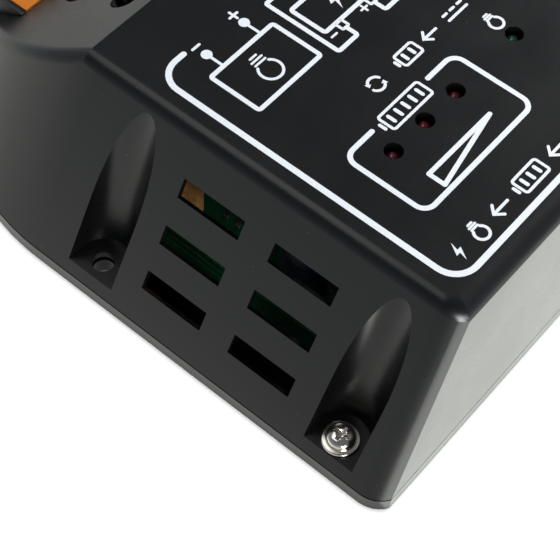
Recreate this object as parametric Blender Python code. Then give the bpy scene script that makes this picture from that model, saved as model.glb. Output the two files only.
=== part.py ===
"""Charge controller: a two-part plastic case with its circuit board, heat sink and a six-way screw terminal.

Metres, +Z up. The origin is the centre of the base's underside. Seen by someone who reads the front label,
+X is to the right and +Y is away from the terminals.
"""

import math

import bmesh
import bpy
from mathutils import Matrix, Vector

MM = 0.001

# Case, driving dimensions
HALF_LENGTH = 66.8 * MM          # middle to each end, at the parting line
HEIGHT = 43.0 * MM
PARTING_Z = 3.9 * MM
END_LEAN = math.radians(30)      # the ends lean this far from upright
BACK_LEAN = math.radians(4.5)
FRONT_LEAN = math.radians(8)
HOOD_ANGLE = math.radians(30)    # the hood over the terminals falls this steeply
CREASE_Y = -25.9 * MM            # where the label face ends and the hood begins
SWEEP_START_Y = -21.9 * MM       # where the ends begin to curve in towards the front
SWEEP_RADIUS = 56.0 * MM
SWEEP_ANGLE = math.radians(52)
FRONT_CORNER_RADIUS = 20.0 * MM
BACK_CORNER_RADIUS = 6.5 * MM
BACK_CORNER_TURN = math.radians(58)      # the corner turns this far, and meets the back wall in an edge
BACK_CORNER_STEPS = 6
EDGE_RADIUS = 4.0 * MM           # round between the walls and the roof
BACK_EDGE_RADIUS = 5.4 * MM      # the same above the back wall
BACK_EDGE_TURN = math.radians(60)        # that round turns this far, and meets the back wall in an edge
ROOF_CORNER_RADIUS = 1.5 * MM    # in plan, where the flat of the label face ends
WALL = 1.6 * MM
ROOF = 2.0 * MM
GAP = 0.3 * MM                   # between neighbouring pieces
OVER = 6 * MM                    # how far cutters reach past the faces they open
FRONT_Y = (SWEEP_START_Y - SWEEP_RADIUS * math.sin(SWEEP_ANGLE)
           - FRONT_CORNER_RADIUS * (1 - math.sin(SWEEP_ANGLE)))
BACK_Y = -FRONT_Y                # the origin is midway between front and back
PLATEAU_HALF = HALF_LENGTH - (HEIGHT - PARTING_Z) * math.tan(END_LEAN)

# Vents: three rows and two columns of slots in each end, round holes in the hood
SLOT_FIRST = 10.1 * MM           # down the end wall from its upper edge
SLOT_PITCH = 11.2 * MM
SLOT_HEIGHT = 4.5 * MM
SLOT_LENGTH = 15.5 * MM
SLOT_COLUMNS_Y = (4.7 * MM, 27.6 * MM)
HOOD_HOLE_RADIUS = 3.2 * MM
HOOD_HOLE_PITCH = 12.9 * MM
HOOD_HOLE_ROWS = (7.9 * MM, 23.5 * MM)   # down the hood from the crease
HOOD_HOLE_COLUMNS = (-2, -1, 0, 1, 2)

# Screw pockets at the four corners
POCKET_RADIUS = 6.0 * MM
POCKET_FLOOR_Z = 6.55 * MM
POCKET_X = 61.2 * MM
POCKET_FRONT_Y = -7.6 * MM
POCKET_BACK_Y = 55.5 * MM
POCKET_LEAN = {POCKET_FRONT_Y: 0.281, POCKET_BACK_Y: 0.272}      # inward per unit of height
POCKET_WALL = 1.6 * MM
POCKET_STEPS = 24
MOUNT_HOLE_RADIUS = 2.4 * MM
SCREW_HOLE_RADIUS = 1.7 * MM     # case and board screws pass through these
BORE_SEGMENTS = 36               # round holes through the case

# Board
BOARD_TOP_Z = 9.0 * MM
BOARD_THICKNESS = 1.6 * MM
BOARD_HALF = 50.5 * MM
BOARD_BACK_Y = 62.5 * MM
BOARD_FRONT_Y = -65.5 * MM
BOARD_FRONT_CORNER = (35 * MM, -49 * MM)  # each front corner is cut off, from this x to this y
BASE_FLOOR = 2.2 * MM
BASE_CHAMFER = 0.4 * MM
POST_RADIUS = 3.2 * MM
BOSS_RADIUS = 4.5 * MM            # under each pocket
PILOT_RADIUS = 1.5 * MM           # blind hole for a board or case screw
PILOT_LOW_Z = 1.0 * MM
RIB_TOP_Z = 6.0 * MM              # ribs of the base that stand inside the cover's walls
RIB_THICKNESS = 1.1 * MM
END_RIB_X = 61.6 * MM
END_RIB_Y = (6.0 * MM, 42.0 * MM)
BACK_RIB_Y = 65.9 * MM
BACK_RIB_HALF = 42.0 * MM
SUNK = 0.6 * MM                   # posts and ribs begin this far inside the floor
BOARD_POSTS = ((46 * MM, 57 * MM), (-46 * MM, 57 * MM), (42 * MM, -48 * MM), (-42 * MM, -48 * MM))

# Terminal block
WAYS = 6
WAY_PITCH = 11.38 * MM
BLOCK_TOP_Z = 27.0 * MM
BLOCK_BACK_Y = -54.2 * MM
BLOCK_FRONT_Y = -69.2 * MM
BLOCK_SLOPE = (3.0 * MM, 4.2 * MM)       # depth and height cut off its upper front edge
BLOCK_WALL = 1.2 * MM            # over each cage's chamber
BLOCK_PLAY = 0.9 * MM            # beside the block, in its opening in the cover
MOUTH_BACK_PLAY = 0.5 * MM       # behind it
END_PLATE = 1.2 * MM
END_PLATE_INSET = 0.3 * MM       # behind the block's front and below its top
END_PLATE_GAP = 0.15 * MM
WELL_RADIUS = 3.15 * MM          # over each clamp screw's head
THREAD_WELL_RADIUS = 2.15 * MM   # round each clamp screw's shank
SCREW_Y = -63.6 * MM
CAGE_TRAVEL = 4.2 * MM           # six turns of an M4 thread
CAGE_BOTTOM_Z = 10.2 * MM
CAGE_HEIGHT = 7.9 * MM
CAGE_HALF = (3.7 * MM, 3.5 * MM)         # half width and half depth
CAGE_SIDE = 1.0 * MM             # its side walls and floor
CAGE_ROOF = 1.4 * MM
CAGE_THREAD_RADIUS = 1.9 * MM
CAGE_PLAY = 0.4 * MM             # beside and under each cage in its chamber
CHAMBER_PLAY = 0.25 * MM         # over a cage that has risen all the way
CHAMBER_BACK = 0.9 * MM          # its chamber reaches this far behind the contact leg's middle
CLAMP_SHANK_RADIUS = 1.7 * MM
CLAMP_TIP_RADIUS = 1.2 * MM
CLAMP_HEAD_RADIUS = 2.9 * MM
CLAMP_HEAD_HEIGHT = 2.4 * MM
CLAMP_CHAMFER = 0.5 * MM
CLAMP_SLOT = (0.9 * MM, 1.2 * MM)        # width and depth
CLAMP_PLAY = 0.2 * MM
CONTACT_Z = (15.6 * MM, 16.4 * MM)
CONTACT_LEG_Y = -57.3 * MM       # where each contact's leg goes down through the board
CONTACT_HALF = 1.3 * MM          # half width
CONTACT_REACH = 3.2 * MM         # past the clamp screw's axis
CONTACT_BELOW = 0.8 * MM         # under the board
LEG_HOLE_HALF = (1.6 * MM, 0.8 * MM)

# Lights
LIGHT_Y = 34.5 * MM
LIGHTS = (("led_battery_1", 22.9 * MM, "red"), ("led_battery_2", 12.9 * MM, "red"),
          ("led_battery_3", 2.9 * MM, "red"), ("led_load", -17.0 * MM, "green"),
          ("led_solar", -32.0 * MM, "green"))
LIGHT_RADIUS = 1.5 * MM
LIGHT_CLEARANCE = 0.5 * MM
LIGHT_COLLAR_RADIUS = 3.2 * MM   # tube under the label face round each light
LIGHT_COLLAR_LOW_Z = 37.6 * MM
LIGHT_TOP_Z = 41.9 * MM           # each dome stays below the label face
LIGHT_FLANGE = (1.9 * MM, 36.0 * MM, 37.0 * MM)   # radius, underside, top
SPACER_RADII = (1.5 * MM, 2.4 * MM)

# Heat sink and the power transistors on it
SINK_FRONT_Y = 52 * MM
SINK_PLATE = 3 * MM
SINK_BACK_Y = 61 * MM
SINK_HALF = 42 * MM
SINK_TOP_Z = 31 * MM
SINK_FINS = 12
SINK_FIN = 1.6 * MM
SINK_HOLE_RADIUS = 1.6 * MM
TRANSISTOR_X = (-30 * MM, -10 * MM, 10 * MM, 30 * MM)
TRANSISTOR_HOLE_Z = 26 * MM
TRANSISTOR_HALF = 5 * MM
TRANSISTOR_TAB = 1.3 * MM
TRANSISTOR_DEPTH = 4.5 * MM
TRANSISTOR_Z = (13.5 * MM, 22.5 * MM, 29.3 * MM)  # body from and to, top of the tab
LEG_PITCH = 2.54 * MM
LEG_HALF = (0.4 * MM, 0.25 * MM)
LEG_INSET = 2.6 * MM             # from the back of the tab

# Other parts on the board, in millimetres: low corner in plan, then size
FILM_CAPACITORS = (((38.5, -7.0), (2.5, 7.6, 10.4)), ((14.0, -42.0), (12.0, 6.0, 11.0)))
CAPACITOR_CORNER = 0.8 * MM
ELECTROLYTICS = ((41 * MM, 29 * MM), (41 * MM, 41 * MM))
ELECTROLYTIC_RADIUS = 5 * MM
ELECTROLYTIC_HEIGHT = 20 * MM
CHIPS = {
    "microcontroller": ((-18, 2), (18, 7.5, 2.6), "moulding_black"),
    "voltage_regulator": ((-40, 20), (6.5, 6.1, 2.3), "moulding_black"),
    "shunt_resistor": ((2, -26), (16, 4, 3.0), "plated_steel"),
}
CRYSTAL = ((-34.0, 0.0, 0.0), (11.0, 4.6, 3.6))
CRYSTAL_CORNER = 2.2 * MM
DIODE_PLACE = (-16 * MM, -24 * MM)
DIODE_RADIUS = 2.6 * MM
DIODE_HALF = 4.7 * MM
DIODE_CHAMFER = 0.3 * MM

# Screws, in millimetres: (radius, height over the seat) from the tip to the top
SEAT_PLAY = 0.15 * MM
CASE_SCREW = ((1.0, -5.1), (1.35, -4.5), (1.35, 0.0), (3.9, 0.0), (3.9, 0.45), (3.65, 0.7), (2.95, 0.75),
              (2.9, 1.6), (2.5, 2.2), (1.7, 2.6))
CROSS_HALF = (1.6 * MM, 0.36 * MM)
CROSS_DEPTH = 1.2 * MM
BOARD_SCREW = ((0.9, -7.55), (1.3, -6.95), (1.3, 0.0), (2.7, 0.0), (2.7, 1.1), (1.9, 1.8))
SINK_SCREW = ((1.4, -6.0), (1.4, 0.0), (2.8, 0.0), (2.8, 1.2), (2.0, 1.9))

# Finishes: colour, roughness, metallic
FINISHES = {
    "case_black": ((0.014, 0.015, 0.016), 0.42, 0.0),
    "base_black": ((0.018, 0.018, 0.018), 0.5, 0.0),
    "board_green": ((0.01, 0.09, 0.035), 0.35, 0.0),
    "terminal_orange": ((0.8, 0.22, 0.01), 0.4, 0.0),
    "plated_steel": ((0.62, 0.6, 0.56), 0.25, 1.0),
    "tinned_brass": ((0.7, 0.66, 0.55), 0.35, 1.0),
    "aluminium": ((0.7, 0.71, 0.72), 0.45, 1.0),
    "moulding_black": ((0.02, 0.02, 0.02), 0.5, 0.0),
    "nylon_white": ((0.7, 0.7, 0.66), 0.5, 0.0),
    "led_red": ((0.35, 0.01, 0.01), 0.12, 0.0),
    "led_green": ((0.02, 0.22, 0.06), 0.12, 0.0),
    "film_orange": ((0.55, 0.16, 0.02), 0.3, 0.0),
    "sleeve_dark": ((0.02, 0.03, 0.08), 0.3, 0.0),
}


def clear_scene():
    for obj in list(bpy.data.objects):
        bpy.data.objects.remove(obj)


def finish_material(name):
    """The Principled material of one finish, made once."""
    found = bpy.data.materials.get(name)
    if found:
        return found
    colour, roughness, metallic = FINISHES[name]
    material = bpy.data.materials.new(name)
    material.use_nodes = True
    shader = material.node_tree.nodes["Principled BSDF"]
    shader.inputs["Base Color"].default_value = (*colour, 1)
    shader.inputs["Roughness"].default_value = roughness
    shader.inputs["Metallic"].default_value = metallic
    return material


def make_object(name, bm, finish="moulding_black", smooth=True):
    """Puts a finished bmesh in the scene as one object."""
    bmesh.ops.recalc_face_normals(bm, faces=bm.faces)
    mesh = bpy.data.meshes.new(name)
    bm.to_mesh(mesh)
    bm.free()
    if smooth:
        mesh.shade_smooth()
        mesh.set_sharp_from_angle(angle=math.radians(32))
    obj = bpy.data.objects.new(name, mesh)
    bpy.context.scene.collection.objects.link(obj)
    mesh.materials.append(finish_material(finish))
    return obj


def combine(target, tool, operation):
    """Applies an exact Boolean of target with tool, and removes the tool."""
    modifier = target.modifiers.new("combine", "BOOLEAN")
    modifier.operation = operation
    modifier.solver = "EXACT"
    modifier.object = tool
    bpy.context.view_layer.update()
    graph = bpy.context.evaluated_depsgraph_get()
    mesh = bpy.data.meshes.new_from_object(target.evaluated_get(graph))
    target.modifiers.clear()
    target.data = mesh
    bpy.data.objects.remove(tool)


def cut(target, bm):
    combine(target, make_object("tool", bm), "DIFFERENCE")


def join(target, bm):
    combine(target, make_object("tool", bm), "UNION")


def add_box(bm, low, high):
    """A box between two corners."""
    low, high = Vector(low), Vector(high)
    made = bmesh.ops.create_cube(bm, size=1.0)["verts"]
    size = high - low
    bmesh.ops.scale(bm, vec=size, verts=made)
    bmesh.ops.translate(bm, vec=(low + high) / 2, verts=made)
    return made


def add_prism(bm, outline, low, high, axis="Z"):
    """A closed outline of 2-D points, extruded along an axis from low to high."""
    place = {
        "X": lambda p, d: Vector((d, p[0], p[1])),
        "Y": lambda p, d: Vector((p[0], d, p[1])),
        "Z": lambda p, d: Vector((p[0], p[1], d)),
    }[axis]
    first = [bm.verts.new(place(p, low)) for p in outline]
    last = [bm.verts.new(place(p, high)) for p in outline]
    bm.faces.new(first)
    bm.faces.new(last)
    for i in range(len(outline)):
        j = (i + 1) % len(outline)
        bm.faces.new((first[i], first[j], last[j], last[i]))
    return first + last


def add_turned(bm, profile, segments=24, centre=(0, 0, 0)):
    """A solid of revolution about a vertical line. The profile runs from bottom to top as (radius, z)."""
    centre = Vector(centre)
    rings = []
    for radius, z in profile:
        if radius == 0:
            rings.append([bm.verts.new(centre + Vector((0, 0, z)))])
            continue
        turn = [2 * math.pi * k / segments for k in range(segments)]
        rings.append([bm.verts.new(centre + Vector((radius * math.cos(a), radius * math.sin(a), z)))
                      for a in turn])
    for lower, upper in zip(rings, rings[1:]):
        for k in range(segments):
            n = (k + 1) % segments
            if len(lower) == 1:
                bm.faces.new((lower[0], upper[n], upper[k]))
            elif len(upper) == 1:
                bm.faces.new((lower[k], lower[n], upper[0]))
            else:
                bm.faces.new((lower[k], lower[n], upper[n], upper[k]))
    for ring in (rings[0], rings[-1]):
        if len(ring) > 1:
            bm.faces.new(ring)
    return [v for ring in rings for v in ring]


def add_cylinder(bm, radius, low, high, x, y, segments=24):
    return add_turned(bm, ((radius, low), (radius, high)), segments, (x, y, 0))


def in_metres(profile):
    return [(radius * MM, level * MM) for radius, level in profile]


# The case wall is a family of straight rulings. Each starts at a point of the plan outline at the parting
# line and leans inwards, so it meets the roof at a known height.

def wall_rulings(inset):
    """Rulings of the right half, front middle to back middle.

    Each is a plan point, its lean per unit of height, and how far round the back corner it is: 0 to 1 there,
    1 on the back wall, and nothing elsewhere.
    """
    end, back, front = math.tan(END_LEAN), math.tan(BACK_LEAN), math.tan(FRONT_LEAN)
    sweep, corner, rear = (r - inset for r in (SWEEP_RADIUS, FRONT_CORNER_RADIUS, BACK_CORNER_RADIUS))
    sweep_centre = Vector((HALF_LENGTH - SWEEP_RADIUS, SWEEP_START_Y))
    reach = SWEEP_RADIUS - FRONT_CORNER_RADIUS
    corner_centre = sweep_centre + reach * Vector((math.cos(SWEEP_ANGLE), -math.sin(SWEEP_ANGLE)))
    rear_centre = Vector((HALF_LENGTH - BACK_CORNER_RADIUS,
                          BACK_Y - BACK_CORNER_RADIUS * math.sin(BACK_CORNER_TURN)))
    rear_turn = math.asin((BACK_Y - inset - rear_centre.y) / rear)
    crease = crease_y(inset)
    crease_angle = math.asin((SWEEP_START_Y - crease) / sweep)

    def forward(angle):
        """Lean towards +Y of the sweep: none beside the label face, all of it at the front."""
        share = max(0.0, (angle - crease_angle) / (math.pi / 2 - crease_angle))
        return front * share * share

    rulings = []
    for k in range(3):
        x = corner_centre.x * k / 3
        rulings.append((Vector((x, corner_centre.y - corner)), Vector((-end * k / 3, front)), None))
    for k in range(6):
        angle = math.pi / 2 - (math.pi / 2 - SWEEP_ANGLE) * k / 6
        spot = corner_centre + corner * Vector((math.cos(angle), -math.sin(angle)))
        rulings.append((spot, Vector((-end, forward(angle))), None))
    for k in range(12):
        angle = SWEEP_ANGLE + (crease_angle - SWEEP_ANGLE) * k / 11
        spot = sweep_centre + sweep * Vector((math.cos(angle), -math.sin(angle)))
        rulings.append((spot, Vector((-end, forward(angle))), None))
    straight = rear_centre.y - SWEEP_START_Y
    for k in range(4):
        spot = Vector((HALF_LENGTH - inset, SWEEP_START_Y + straight * k / 4))
        rulings.append((spot, Vector((-end, -back * k / 4)), None))
    for k in range(BACK_CORNER_STEPS + 1):
        angle = rear_turn * k / BACK_CORNER_STEPS
        spot = rear_centre + rear * Vector((math.cos(angle), math.sin(angle)))
        rulings.append((spot, Vector((-end, -back)), k / BACK_CORNER_STEPS))
    for k in (2, 1, 0):
        x = rear_centre.x * k / 3
        rulings.append((Vector((x, BACK_Y - inset)), Vector((-end * k / 3, -back)), 1.0))
    return rulings


def crease_y(inset):
    """The crease of the inner skin lies a little further back than the outer one."""
    return CREASE_Y + (ROOF * math.tan(HOOD_ANGLE / 2) if inset else 0)


def both_halves(rulings):
    """Adds the mirrored left half, in order round the outline."""
    left = [(Vector((-p.x, p.y)), Vector((-v.x, v.y)), share) for p, v, share in reversed(rulings[1:-1])]
    return rulings + left


def roof_height(spot, lean, top, crease):
    """How far above the parting line a ruling meets the label face or the hood."""
    rise = top - PARTING_Z
    if spot.y + rise * lean.y >= crease - 1e-9:
        return rise
    fall = math.tan(HOOD_ANGLE)
    return (rise + (spot.y - crease) * fall) / (1 - lean.y * fall)


def round_edge(corner, wall, roof, radius, steps):
    """Points of a full round between a wall and the roof, from the wall up. corner is where they'd meet."""
    centre = corner - radius * (wall + roof) / (1 + wall.dot(roof))
    bend = math.acos(max(-1.0, min(1.0, wall.dot(roof))))
    side = (roof - wall * math.cos(bend)).normalized()
    return [centre + radius * (wall * math.cos(bend * k / steps) + side * math.sin(bend * k / steps))
            for k in range(steps + 1)]


def part_round(ruling, top, radius, back_radius, flat_corner, steps):
    """Points of the shorter round above the back wall and its corners, from the wall up."""
    spot, lean, share = ruling
    drop = (radius + (back_radius - radius) * share) * (1 - math.cos(BACK_EDGE_TURN))
    low = Vector((*(spot + (top - drop - PARTING_Z) * lean), top - drop))
    side = -1 if spot.x < 0 else 1
    back_inset = back_radius * math.sin(BACK_EDGE_TURN)
    middle = flat_corner - Vector((radius * math.tan(END_LEAN), back_inset)) \
        - ROOF_CORNER_RADIUS * Vector((1, 1))
    turn = math.pi / 2 * share
    rim = middle + ROOF_CORNER_RADIUS * Vector((math.cos(turn), math.sin(turn)))
    if abs(lean.x) < math.tan(END_LEAN) - 1e-6:
        rim.x = abs(low.x)
    high = Vector((side * rim.x, rim.y, top))
    reach = Vector((high.x - low.x, high.y - low.y, 0))
    points = []
    for k in range(steps + 1):
        angle = BACK_EDGE_TURN * (1 - k / steps)
        inward = 1 - math.sin(angle) / math.sin(BACK_EDGE_TURN)
        fall = drop * (1 - math.cos(angle)) / (1 - math.cos(BACK_EDGE_TURN))
        points.append(Vector((low.x, low.y, top - fall)) + reach * inward)
    return points


def case_solid(bm, inset, top, radius, bottom, steps):
    """The case's outer solid, or with an inset the space inside it."""
    rulings = both_halves(wall_rulings(inset))
    crease = crease_y(inset)
    count = len(rulings)
    heights = [roof_height(p, v, top, crease) for p, v, share in rulings]
    edge = [Vector((*(p + h * v), PARTING_Z + h)) for (p, v, share), h in zip(rulings, heights)]
    hood_normal = Vector((0, -math.sin(HOOD_ANGLE), math.cos(HOOD_ANGLE)))
    drop = bottom - PARTING_Z
    foot = [bm.verts.new(Vector((*(p + drop * v), bottom))) for p, v, share in rulings]
    on_crease = [abs(e.y - crease) < 1e-7 for e in edge]
    rise = top - PARTING_Z
    flat_corner = Vector((HALF_LENGTH - inset - rise * math.tan(END_LEAN),
                          BACK_Y - inset - rise * math.tan(BACK_LEAN)))
    back_radius = BACK_EDGE_RADIUS + radius - EDGE_RADIUS
    rings = [foot]
    arcs = []
    for i, (spot, lean, share) in enumerate(rulings):
        if share is not None:
            arcs.append(part_round(rulings[i], top, radius, back_radius, flat_corner, steps))
            continue
        along = (edge[(i + 1) % count] - edge[i - 1]).normalized()
        wall = along.cross(Vector((*lean, 1))).normalized()
        roof = Vector((0, 0, 1)) if edge[i].y >= crease - 1e-7 else hood_normal
        arc = round_edge(edge[i], wall, roof, radius, steps)
        if on_crease[i]:
            arc[-1] = Vector((arc[-1].x, crease, top))
        arcs.append(arc)
    for k in range(steps + 1):
        rings.append([bm.verts.new(arc[k]) for arc in arcs])
    for lower, upper in zip(rings, rings[1:]):
        for i in range(count):
            j = (i + 1) % count
            bm.faces.new((lower[i], lower[j], upper[j], upper[i]))
    bm.faces.new(foot)
    right, left = (i for i in range(count) if on_crease[i])
    last = rings[-1]
    bm.faces.new(last[right:left + 1])
    bm.faces.new(last[left:] + last[:right + 1])


def add_pocket(bm, side, y, grow):
    """A screw pocket: a half-round channel that leans in along the end wall and is open towards the end."""
    radius = POCKET_RADIUS + grow
    low, high = POCKET_FLOOR_Z - grow, HEIGHT + OVER
    outer = HALF_LENGTH + OVER
    arc = [math.pi / 2 + math.pi * k / POCKET_STEPS for k in range(POCKET_STEPS + 1)]
    rings = []
    for z in (low, high):
        middle = POCKET_X - POCKET_LEAN[y] * (z - POCKET_FLOOR_Z)
        outline = [(middle + radius * math.cos(a), y + radius * math.sin(a)) for a in arc]
        outline += [(outer, y - radius), (outer, y + radius)]
        rings.append([bm.verts.new((side * px, py, z)) for px, py in outline])
    lower, upper = rings
    bm.faces.new(lower)
    bm.faces.new(upper)
    for i in range(len(lower)):
        j = (i + 1) % len(lower)
        bm.faces.new((lower[i], lower[j], upper[j], upper[i]))


def pocket_places():
    return [(side, y) for side in (1, -1) for y in (POCKET_FRONT_Y, POCKET_BACK_Y)]


def add_end_slots(bm):
    """Cutters for the slots in both leaning ends."""
    for side in (1, -1):
        for column in SLOT_COLUMNS_Y:
            for row in range(3):
                down = SLOT_FIRST + row * SLOT_PITCH
                low, high = -down - SLOT_HEIGHT, -down
                verts = add_box(bm, (-OVER, column, low), (OVER, column + SLOT_LENGTH, high))
                turn = Matrix.Rotation(-side * END_LEAN, 4, "Y")
                shift = Matrix.Translation((side * PLATEAU_HALF, 0, HEIGHT))
                bmesh.ops.transform(bm, matrix=shift @ turn, verts=verts)


def add_hood_holes(bm):
    """Cutters for the round holes in the hood, square to its face."""
    turn = Matrix.Rotation(HOOD_ANGLE, 4, "X")
    for row in HOOD_HOLE_ROWS:
        y = CREASE_Y - row * math.cos(HOOD_ANGLE)
        z = HEIGHT - row * math.sin(HOOD_ANGLE)
        for k in HOOD_HOLE_COLUMNS:
            verts = add_cylinder(bm, HOOD_HOLE_RADIUS, -OVER, OVER, 0, 0, BORE_SEGMENTS)
            matrix = Matrix.Translation((k * HOOD_HOLE_PITCH, y, z)) @ turn
            bmesh.ops.transform(bm, matrix=matrix, verts=verts)


def top_cover():
    bm = bmesh.new()
    case_solid(bm, 0, HEIGHT, EDGE_RADIUS, PARTING_Z + GAP / 2, 8)
    cover = make_object("top_cover", bm, "case_black")
    bm = bmesh.new()
    case_solid(bm, WALL, HEIGHT - ROOF, EDGE_RADIUS - ROOF, PARTING_Z - MM, 2)
    hollow = make_object("hollow", bm)
    bm = bmesh.new()
    for side, y in pocket_places():
        add_pocket(bm, side, y, POCKET_WALL)
    cut(hollow, bm)
    combine(cover, hollow, "DIFFERENCE")
    bm = bmesh.new()
    for name, x, colour in LIGHTS:
        add_cylinder(bm, LIGHT_COLLAR_RADIUS, LIGHT_COLLAR_LOW_Z, HEIGHT - ROOF / 2, x, LIGHT_Y,
                     BORE_SEGMENTS)
    join(cover, bm)
    bm = bmesh.new()
    for side, y in pocket_places():
        add_pocket(bm, side, y, 0)
    cut(cover, bm)
    bm = bmesh.new()
    for side, y in pocket_places():
        radius = MOUNT_HOLE_RADIUS if y == POCKET_FRONT_Y else SCREW_HOLE_RADIUS
        add_cylinder(bm, radius, POCKET_FLOOR_Z - OVER, POCKET_FLOOR_Z + OVER, side * POCKET_X, y,
                     BORE_SEGMENTS)
    add_end_slots(bm)
    add_hood_holes(bm)
    for name, x, colour in LIGHTS:
        add_cylinder(bm, LIGHT_RADIUS + LIGHT_CLEARANCE, HEIGHT - OVER, HEIGHT + OVER, x, LIGHT_Y,
                     BORE_SEGMENTS)
    mouth = WAYS * WAY_PITCH / 2 + END_PLATE + BLOCK_PLAY
    add_box(bm, (-mouth, FRONT_Y - OVER, BOARD_TOP_Z), (mouth, BLOCK_BACK_Y + MOUTH_BACK_PLAY, HEIGHT))
    cut(cover, bm)
    cover.data.materials.clear()
    cover.data.materials.append(finish_material("case_black"))


def outline_points(inset):
    return [p for p, lean, share in both_halves(wall_rulings(inset))]


def base():
    rim = PARTING_Z - GAP / 2
    bm = bmesh.new()
    rings = []
    for inset, z in ((BASE_CHAMFER, 0), (0, BASE_CHAMFER), (0, rim)):
        rings.append([bm.verts.new((p.x, p.y, z)) for p in outline_points(inset)])
    for lower, upper in zip(rings, rings[1:]):
        for i in range(len(lower)):
            j = (i + 1) % len(lower)
            bm.faces.new((lower[i], lower[j], upper[j], upper[i]))
    bm.faces.new(rings[0])
    bm.faces.new(rings[-1])
    tray = make_object("base", bm, "base_black")
    bm = bmesh.new()
    add_prism(bm, outline_points(WALL), BASE_FLOOR, rim + OVER)
    cut(tray, bm)
    sunk = BASE_FLOOR - SUNK
    bm = bmesh.new()
    for x, y in BOARD_POSTS:
        add_cylinder(bm, POST_RADIUS, sunk, BOARD_TOP_Z - BOARD_THICKNESS - GAP, x, y, 20)
    for side, y in pocket_places():
        add_cylinder(bm, BOSS_RADIUS, sunk, rim, side * POCKET_X, y, 20)
    for side in (1, -1):
        near, far = side * END_RIB_X, side * (END_RIB_X + RIB_THICKNESS)
        add_box(bm, (near, END_RIB_Y[0], sunk), (far, END_RIB_Y[1], RIB_TOP_Z))
    back_rib = BACK_RIB_Y + RIB_THICKNESS
    add_box(bm, (-BACK_RIB_HALF, BACK_RIB_Y, sunk), (BACK_RIB_HALF, back_rib, RIB_TOP_Z))
    join(tray, bm)
    bm = bmesh.new()
    for x, y in BOARD_POSTS:
        add_cylinder(bm, PILOT_RADIUS, PILOT_LOW_Z, BOARD_TOP_Z, x, y, 12)
    for side, y in pocket_places():
        if y == POCKET_FRONT_Y:
            add_cylinder(bm, MOUNT_HOLE_RADIUS, -OVER, BOARD_TOP_Z, side * POCKET_X, y, BORE_SEGMENTS)
        else:
            add_cylinder(bm, PILOT_RADIUS, PILOT_LOW_Z, BOARD_TOP_Z, side * POCKET_X, y, 12)
    cut(tray, bm)


def way_positions():
    return [(k - (WAYS - 1) / 2) * WAY_PITCH for k in range(WAYS)]


def add_leg_holes(bm, low, high):
    """Cutters for the contacts' legs."""
    half_x, half_y = LEG_HOLE_HALF
    for x in way_positions():
        add_box(bm, (x - half_x, CONTACT_LEG_Y - half_y, low), (x + half_x, CONTACT_LEG_Y + half_y, high))


def circuit_board():
    low, high = BOARD_TOP_Z - BOARD_THICKNESS, BOARD_TOP_Z
    corner_x, corner_y = BOARD_FRONT_CORNER
    outline = [(-corner_x, BOARD_FRONT_Y), (corner_x, BOARD_FRONT_Y), (BOARD_HALF, corner_y),
               (BOARD_HALF, BOARD_BACK_Y), (-BOARD_HALF, BOARD_BACK_Y), (-BOARD_HALF, corner_y)]
    bm = bmesh.new()
    add_prism(bm, outline, low, high)
    board = make_object("circuit_board", bm, "board_green", smooth=False)
    bm = bmesh.new()
    for x, y in BOARD_POSTS:
        add_cylinder(bm, SCREW_HOLE_RADIUS, low - MM, high + MM, x, y, 16)
    add_leg_holes(bm, low - MM, high + MM)
    cut(board, bm)


def terminal_housing():
    """The moulded block: for each way a wire mouth in front, a screw well above and a chamber between."""
    half = WAYS * WAY_PITCH / 2
    low = BOARD_TOP_Z + GAP
    bm = bmesh.new()
    slope_depth, slope_height = BLOCK_SLOPE
    side = [(BLOCK_FRONT_Y, low), (BLOCK_BACK_Y, low), (BLOCK_BACK_Y, BLOCK_TOP_Z),
            (BLOCK_FRONT_Y + slope_depth, BLOCK_TOP_Z), (BLOCK_FRONT_Y, BLOCK_TOP_Z - slope_height)]
    add_prism(bm, side, -half, half, "X")
    block = make_object("terminal_housing", bm, "terminal_orange")
    chamber_top = CAGE_BOTTOM_Z + CAGE_HEIGHT + CAGE_TRAVEL + CHAMBER_PLAY
    shoulder = chamber_top + BLOCK_WALL
    half_x = CAGE_HALF[0] + CAGE_PLAY
    bm = bmesh.new()
    for x in way_positions():
        add_box(bm, (x - half_x, BLOCK_FRONT_Y - OVER, CAGE_BOTTOM_Z - CAGE_PLAY),
                (x + half_x, CONTACT_LEG_Y + CHAMBER_BACK, chamber_top))
    cut(block, bm)
    bm = bmesh.new()
    add_leg_holes(bm, low - MM, CAGE_BOTTOM_Z)
    cut(block, bm)
    bm = bmesh.new()
    for x in way_positions():
        add_turned(bm, ((THREAD_WELL_RADIUS, chamber_top - CAGE_PLAY), (THREAD_WELL_RADIUS, shoulder),
                        (WELL_RADIUS, shoulder), (WELL_RADIUS, BLOCK_TOP_Z + MM)), 20, (x, SCREW_Y, 0))
    cut(block, bm)
    return shoulder


def terminal_end_plates():
    half = WAYS * WAY_PITCH / 2
    low = BOARD_TOP_Z + GAP
    front, top = BLOCK_FRONT_Y + END_PLATE_INSET, BLOCK_TOP_Z - END_PLATE_INSET
    slope_depth, slope_height = BLOCK_SLOPE
    inner = half + END_PLATE_GAP
    for name, side in (("right", 1), ("left", -1)):
        profile = [(front, low), (BLOCK_BACK_Y, low), (BLOCK_BACK_Y, top),
                   (front + slope_depth, top), (front, top - slope_height)]
        bm = bmesh.new()
        add_prism(bm, profile, side * inner, side * (inner + END_PLATE), "X")
        make_object(f"terminal_end_plate_{name}", bm, "moulding_black", smooth=False)


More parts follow.
